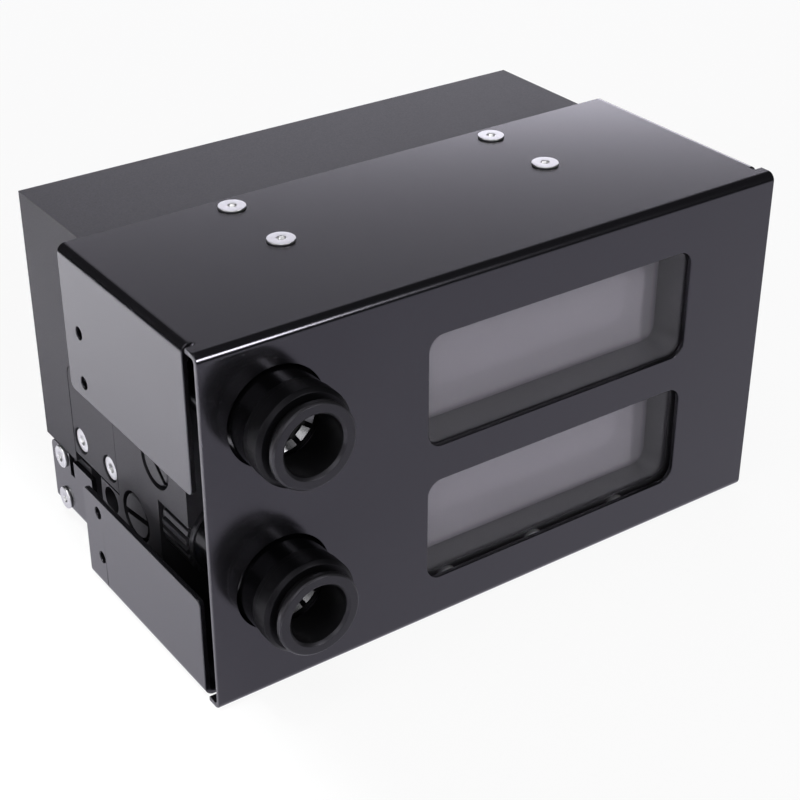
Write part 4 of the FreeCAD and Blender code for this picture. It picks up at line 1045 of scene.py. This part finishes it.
# %% Floor finish
floor_tree = floor_finish.node_tree
floor_shader = floor_tree.nodes["Principled BSDF"]
floor_shader.inputs["Base Color"].default_value = (FLOOR_GREY, FLOOR_GREY, FLOOR_GREY, 1)
floor_shader.inputs["Roughness"].default_value = FLOOR_ROUGHNESS
rays = add_node(floor_tree, "ShaderNodeLightPath").outputs
floor_coords = add_node(floor_tree, "ShaderNodeTexCoord").outputs["Object"]
from_middle = add_node(floor_tree, "ShaderNodeVectorMath", {0: floor_coords}, operation="LENGTH")
far_away = remap(floor_tree, from_middle.outputs["Value"], *TABLE_EDGE, 0.0, BEYOND_TABLE,
                 shape="SMOOTHSTEP")
mirrored = calculate(floor_tree, "MAXIMUM", rays["Is Glossy Ray"], rays["Is Transmission Ray"])
seen_white = calculate(floor_tree, "MAXIMUM", rays["Is Camera Ray"], mirrored)
white = add_node(floor_tree, "ShaderNodeEmission", {
    "Color": mix_colours(floor_tree, rays["Is Camera Ray"], (*COOL_LIGHT, 1), (*WHITE_LIGHT, 1)),
    "Strength": 1.0})
table = add_node(floor_tree, "ShaderNodeMixShader", {
    0: calculate(floor_tree, "MULTIPLY", seen_white, FLOOR_WHITE),
    1: floor_shader.outputs[0], 2: white.outputs[0]})
dark_studio = add_node(floor_tree, "ShaderNodeEmission", {"Strength": 0.0})
table_end = add_node(floor_tree, "ShaderNodeMixShader", {
    0: calculate(floor_tree, "MULTIPLY", rays["Is Glossy Ray"], far_away),
    1: table.outputs[0], 2: dark_studio.outputs[0]})
feed(floor_tree, floor_tree.nodes["Material Output"].inputs["Surface"], table_end.outputs[0])
print("floor finish has", len(floor_tree.nodes), "nodes")

# %% [markdown]
# ## The light
# Dark glossy sheet is lit by what it mirrors, so brighter lamps alone would not help: each
# soft panel stands where one face of the cover sees it. The two panels behind the object
# shine along the top plate and are as cool as the floor. A narrow panel above the floor on
# the left lights the patch that the left flanges mirror.

# %% Lamps
AIM = at(0, 30, 60)
# Name, place, direction or None for the aim, width and height, power, spread, colour.
LAMPS = [
    ("back_panel", (0.533, 0.82, 0.29), None, (0.84, 0.27), 3.3, 180, COOL_LIGHT),
    ("haze_panel", (0.45, 0.70, 0.60), None, (0.84, 0.36), 0.36, 180, COOL_LIGHT),
    ("overhead_panel", (-0.3, -0.2, 1.3), None, (0.8, 0.8), 5.0, 180, WHITE_LIGHT),
    ("front_strip", (0.345, -0.83, 0.505), None, (0.11, 0.28), 3.8, 180, WHITE_LIGHT),
    ("fill_panel", (-0.45, -0.75, 0.55), None, (0.5, 0.5), 3.0, 180, WHITE_LIGHT),
    ("left_panel", (-1.1, 0.1, 0.45), None, (0.7, 0.7), 4.0, 180, WHITE_LIGHT),
    ("floor_panel", (-0.26, 0.08, 0.45), DOWN, (0.30, 0.55), 7.8, 15, WHITE_LIGHT),
]
for lamp_name, place, direction, size, power, spread, colour in LAMPS:
    lamp_data = bpy.data.lights.new(lamp_name, "AREA")
    lamp_data.shape = "RECTANGLE"
    lamp_data.size, lamp_data.size_y = size
    lamp_data.energy = power
    lamp_data.color = colour
    lamp_data.spread = math.radians(spread)
    lamp = bpy.data.objects.new(lamp_name, lamp_data)
    lamp.location = place
    lamp.rotation_mode = "QUATERNION"
    facing = Vector(direction) if direction else AIM - Vector(place)
    lamp.rotation_quaternion = facing.to_track_quat("-Z", "Y")
    lamp.visible_camera = False
    scene.collection.objects.link(lamp)
print("lamps", [lamp[0] for lamp in LAMPS])

# %% World
STUDIO_GREY = (0.25, 0.25, 0.26, 1)
STUDIO_STRENGTH = 0.24

world = bpy.data.worlds.new("studio")
scene.world = world
world.use_nodes = True
background = world.node_tree.nodes["Background"]
background.inputs["Color"].default_value = STUDIO_GREY
background.inputs["Strength"].default_value = STUDIO_STRENGTH
print("world strength", STUDIO_STRENGTH)
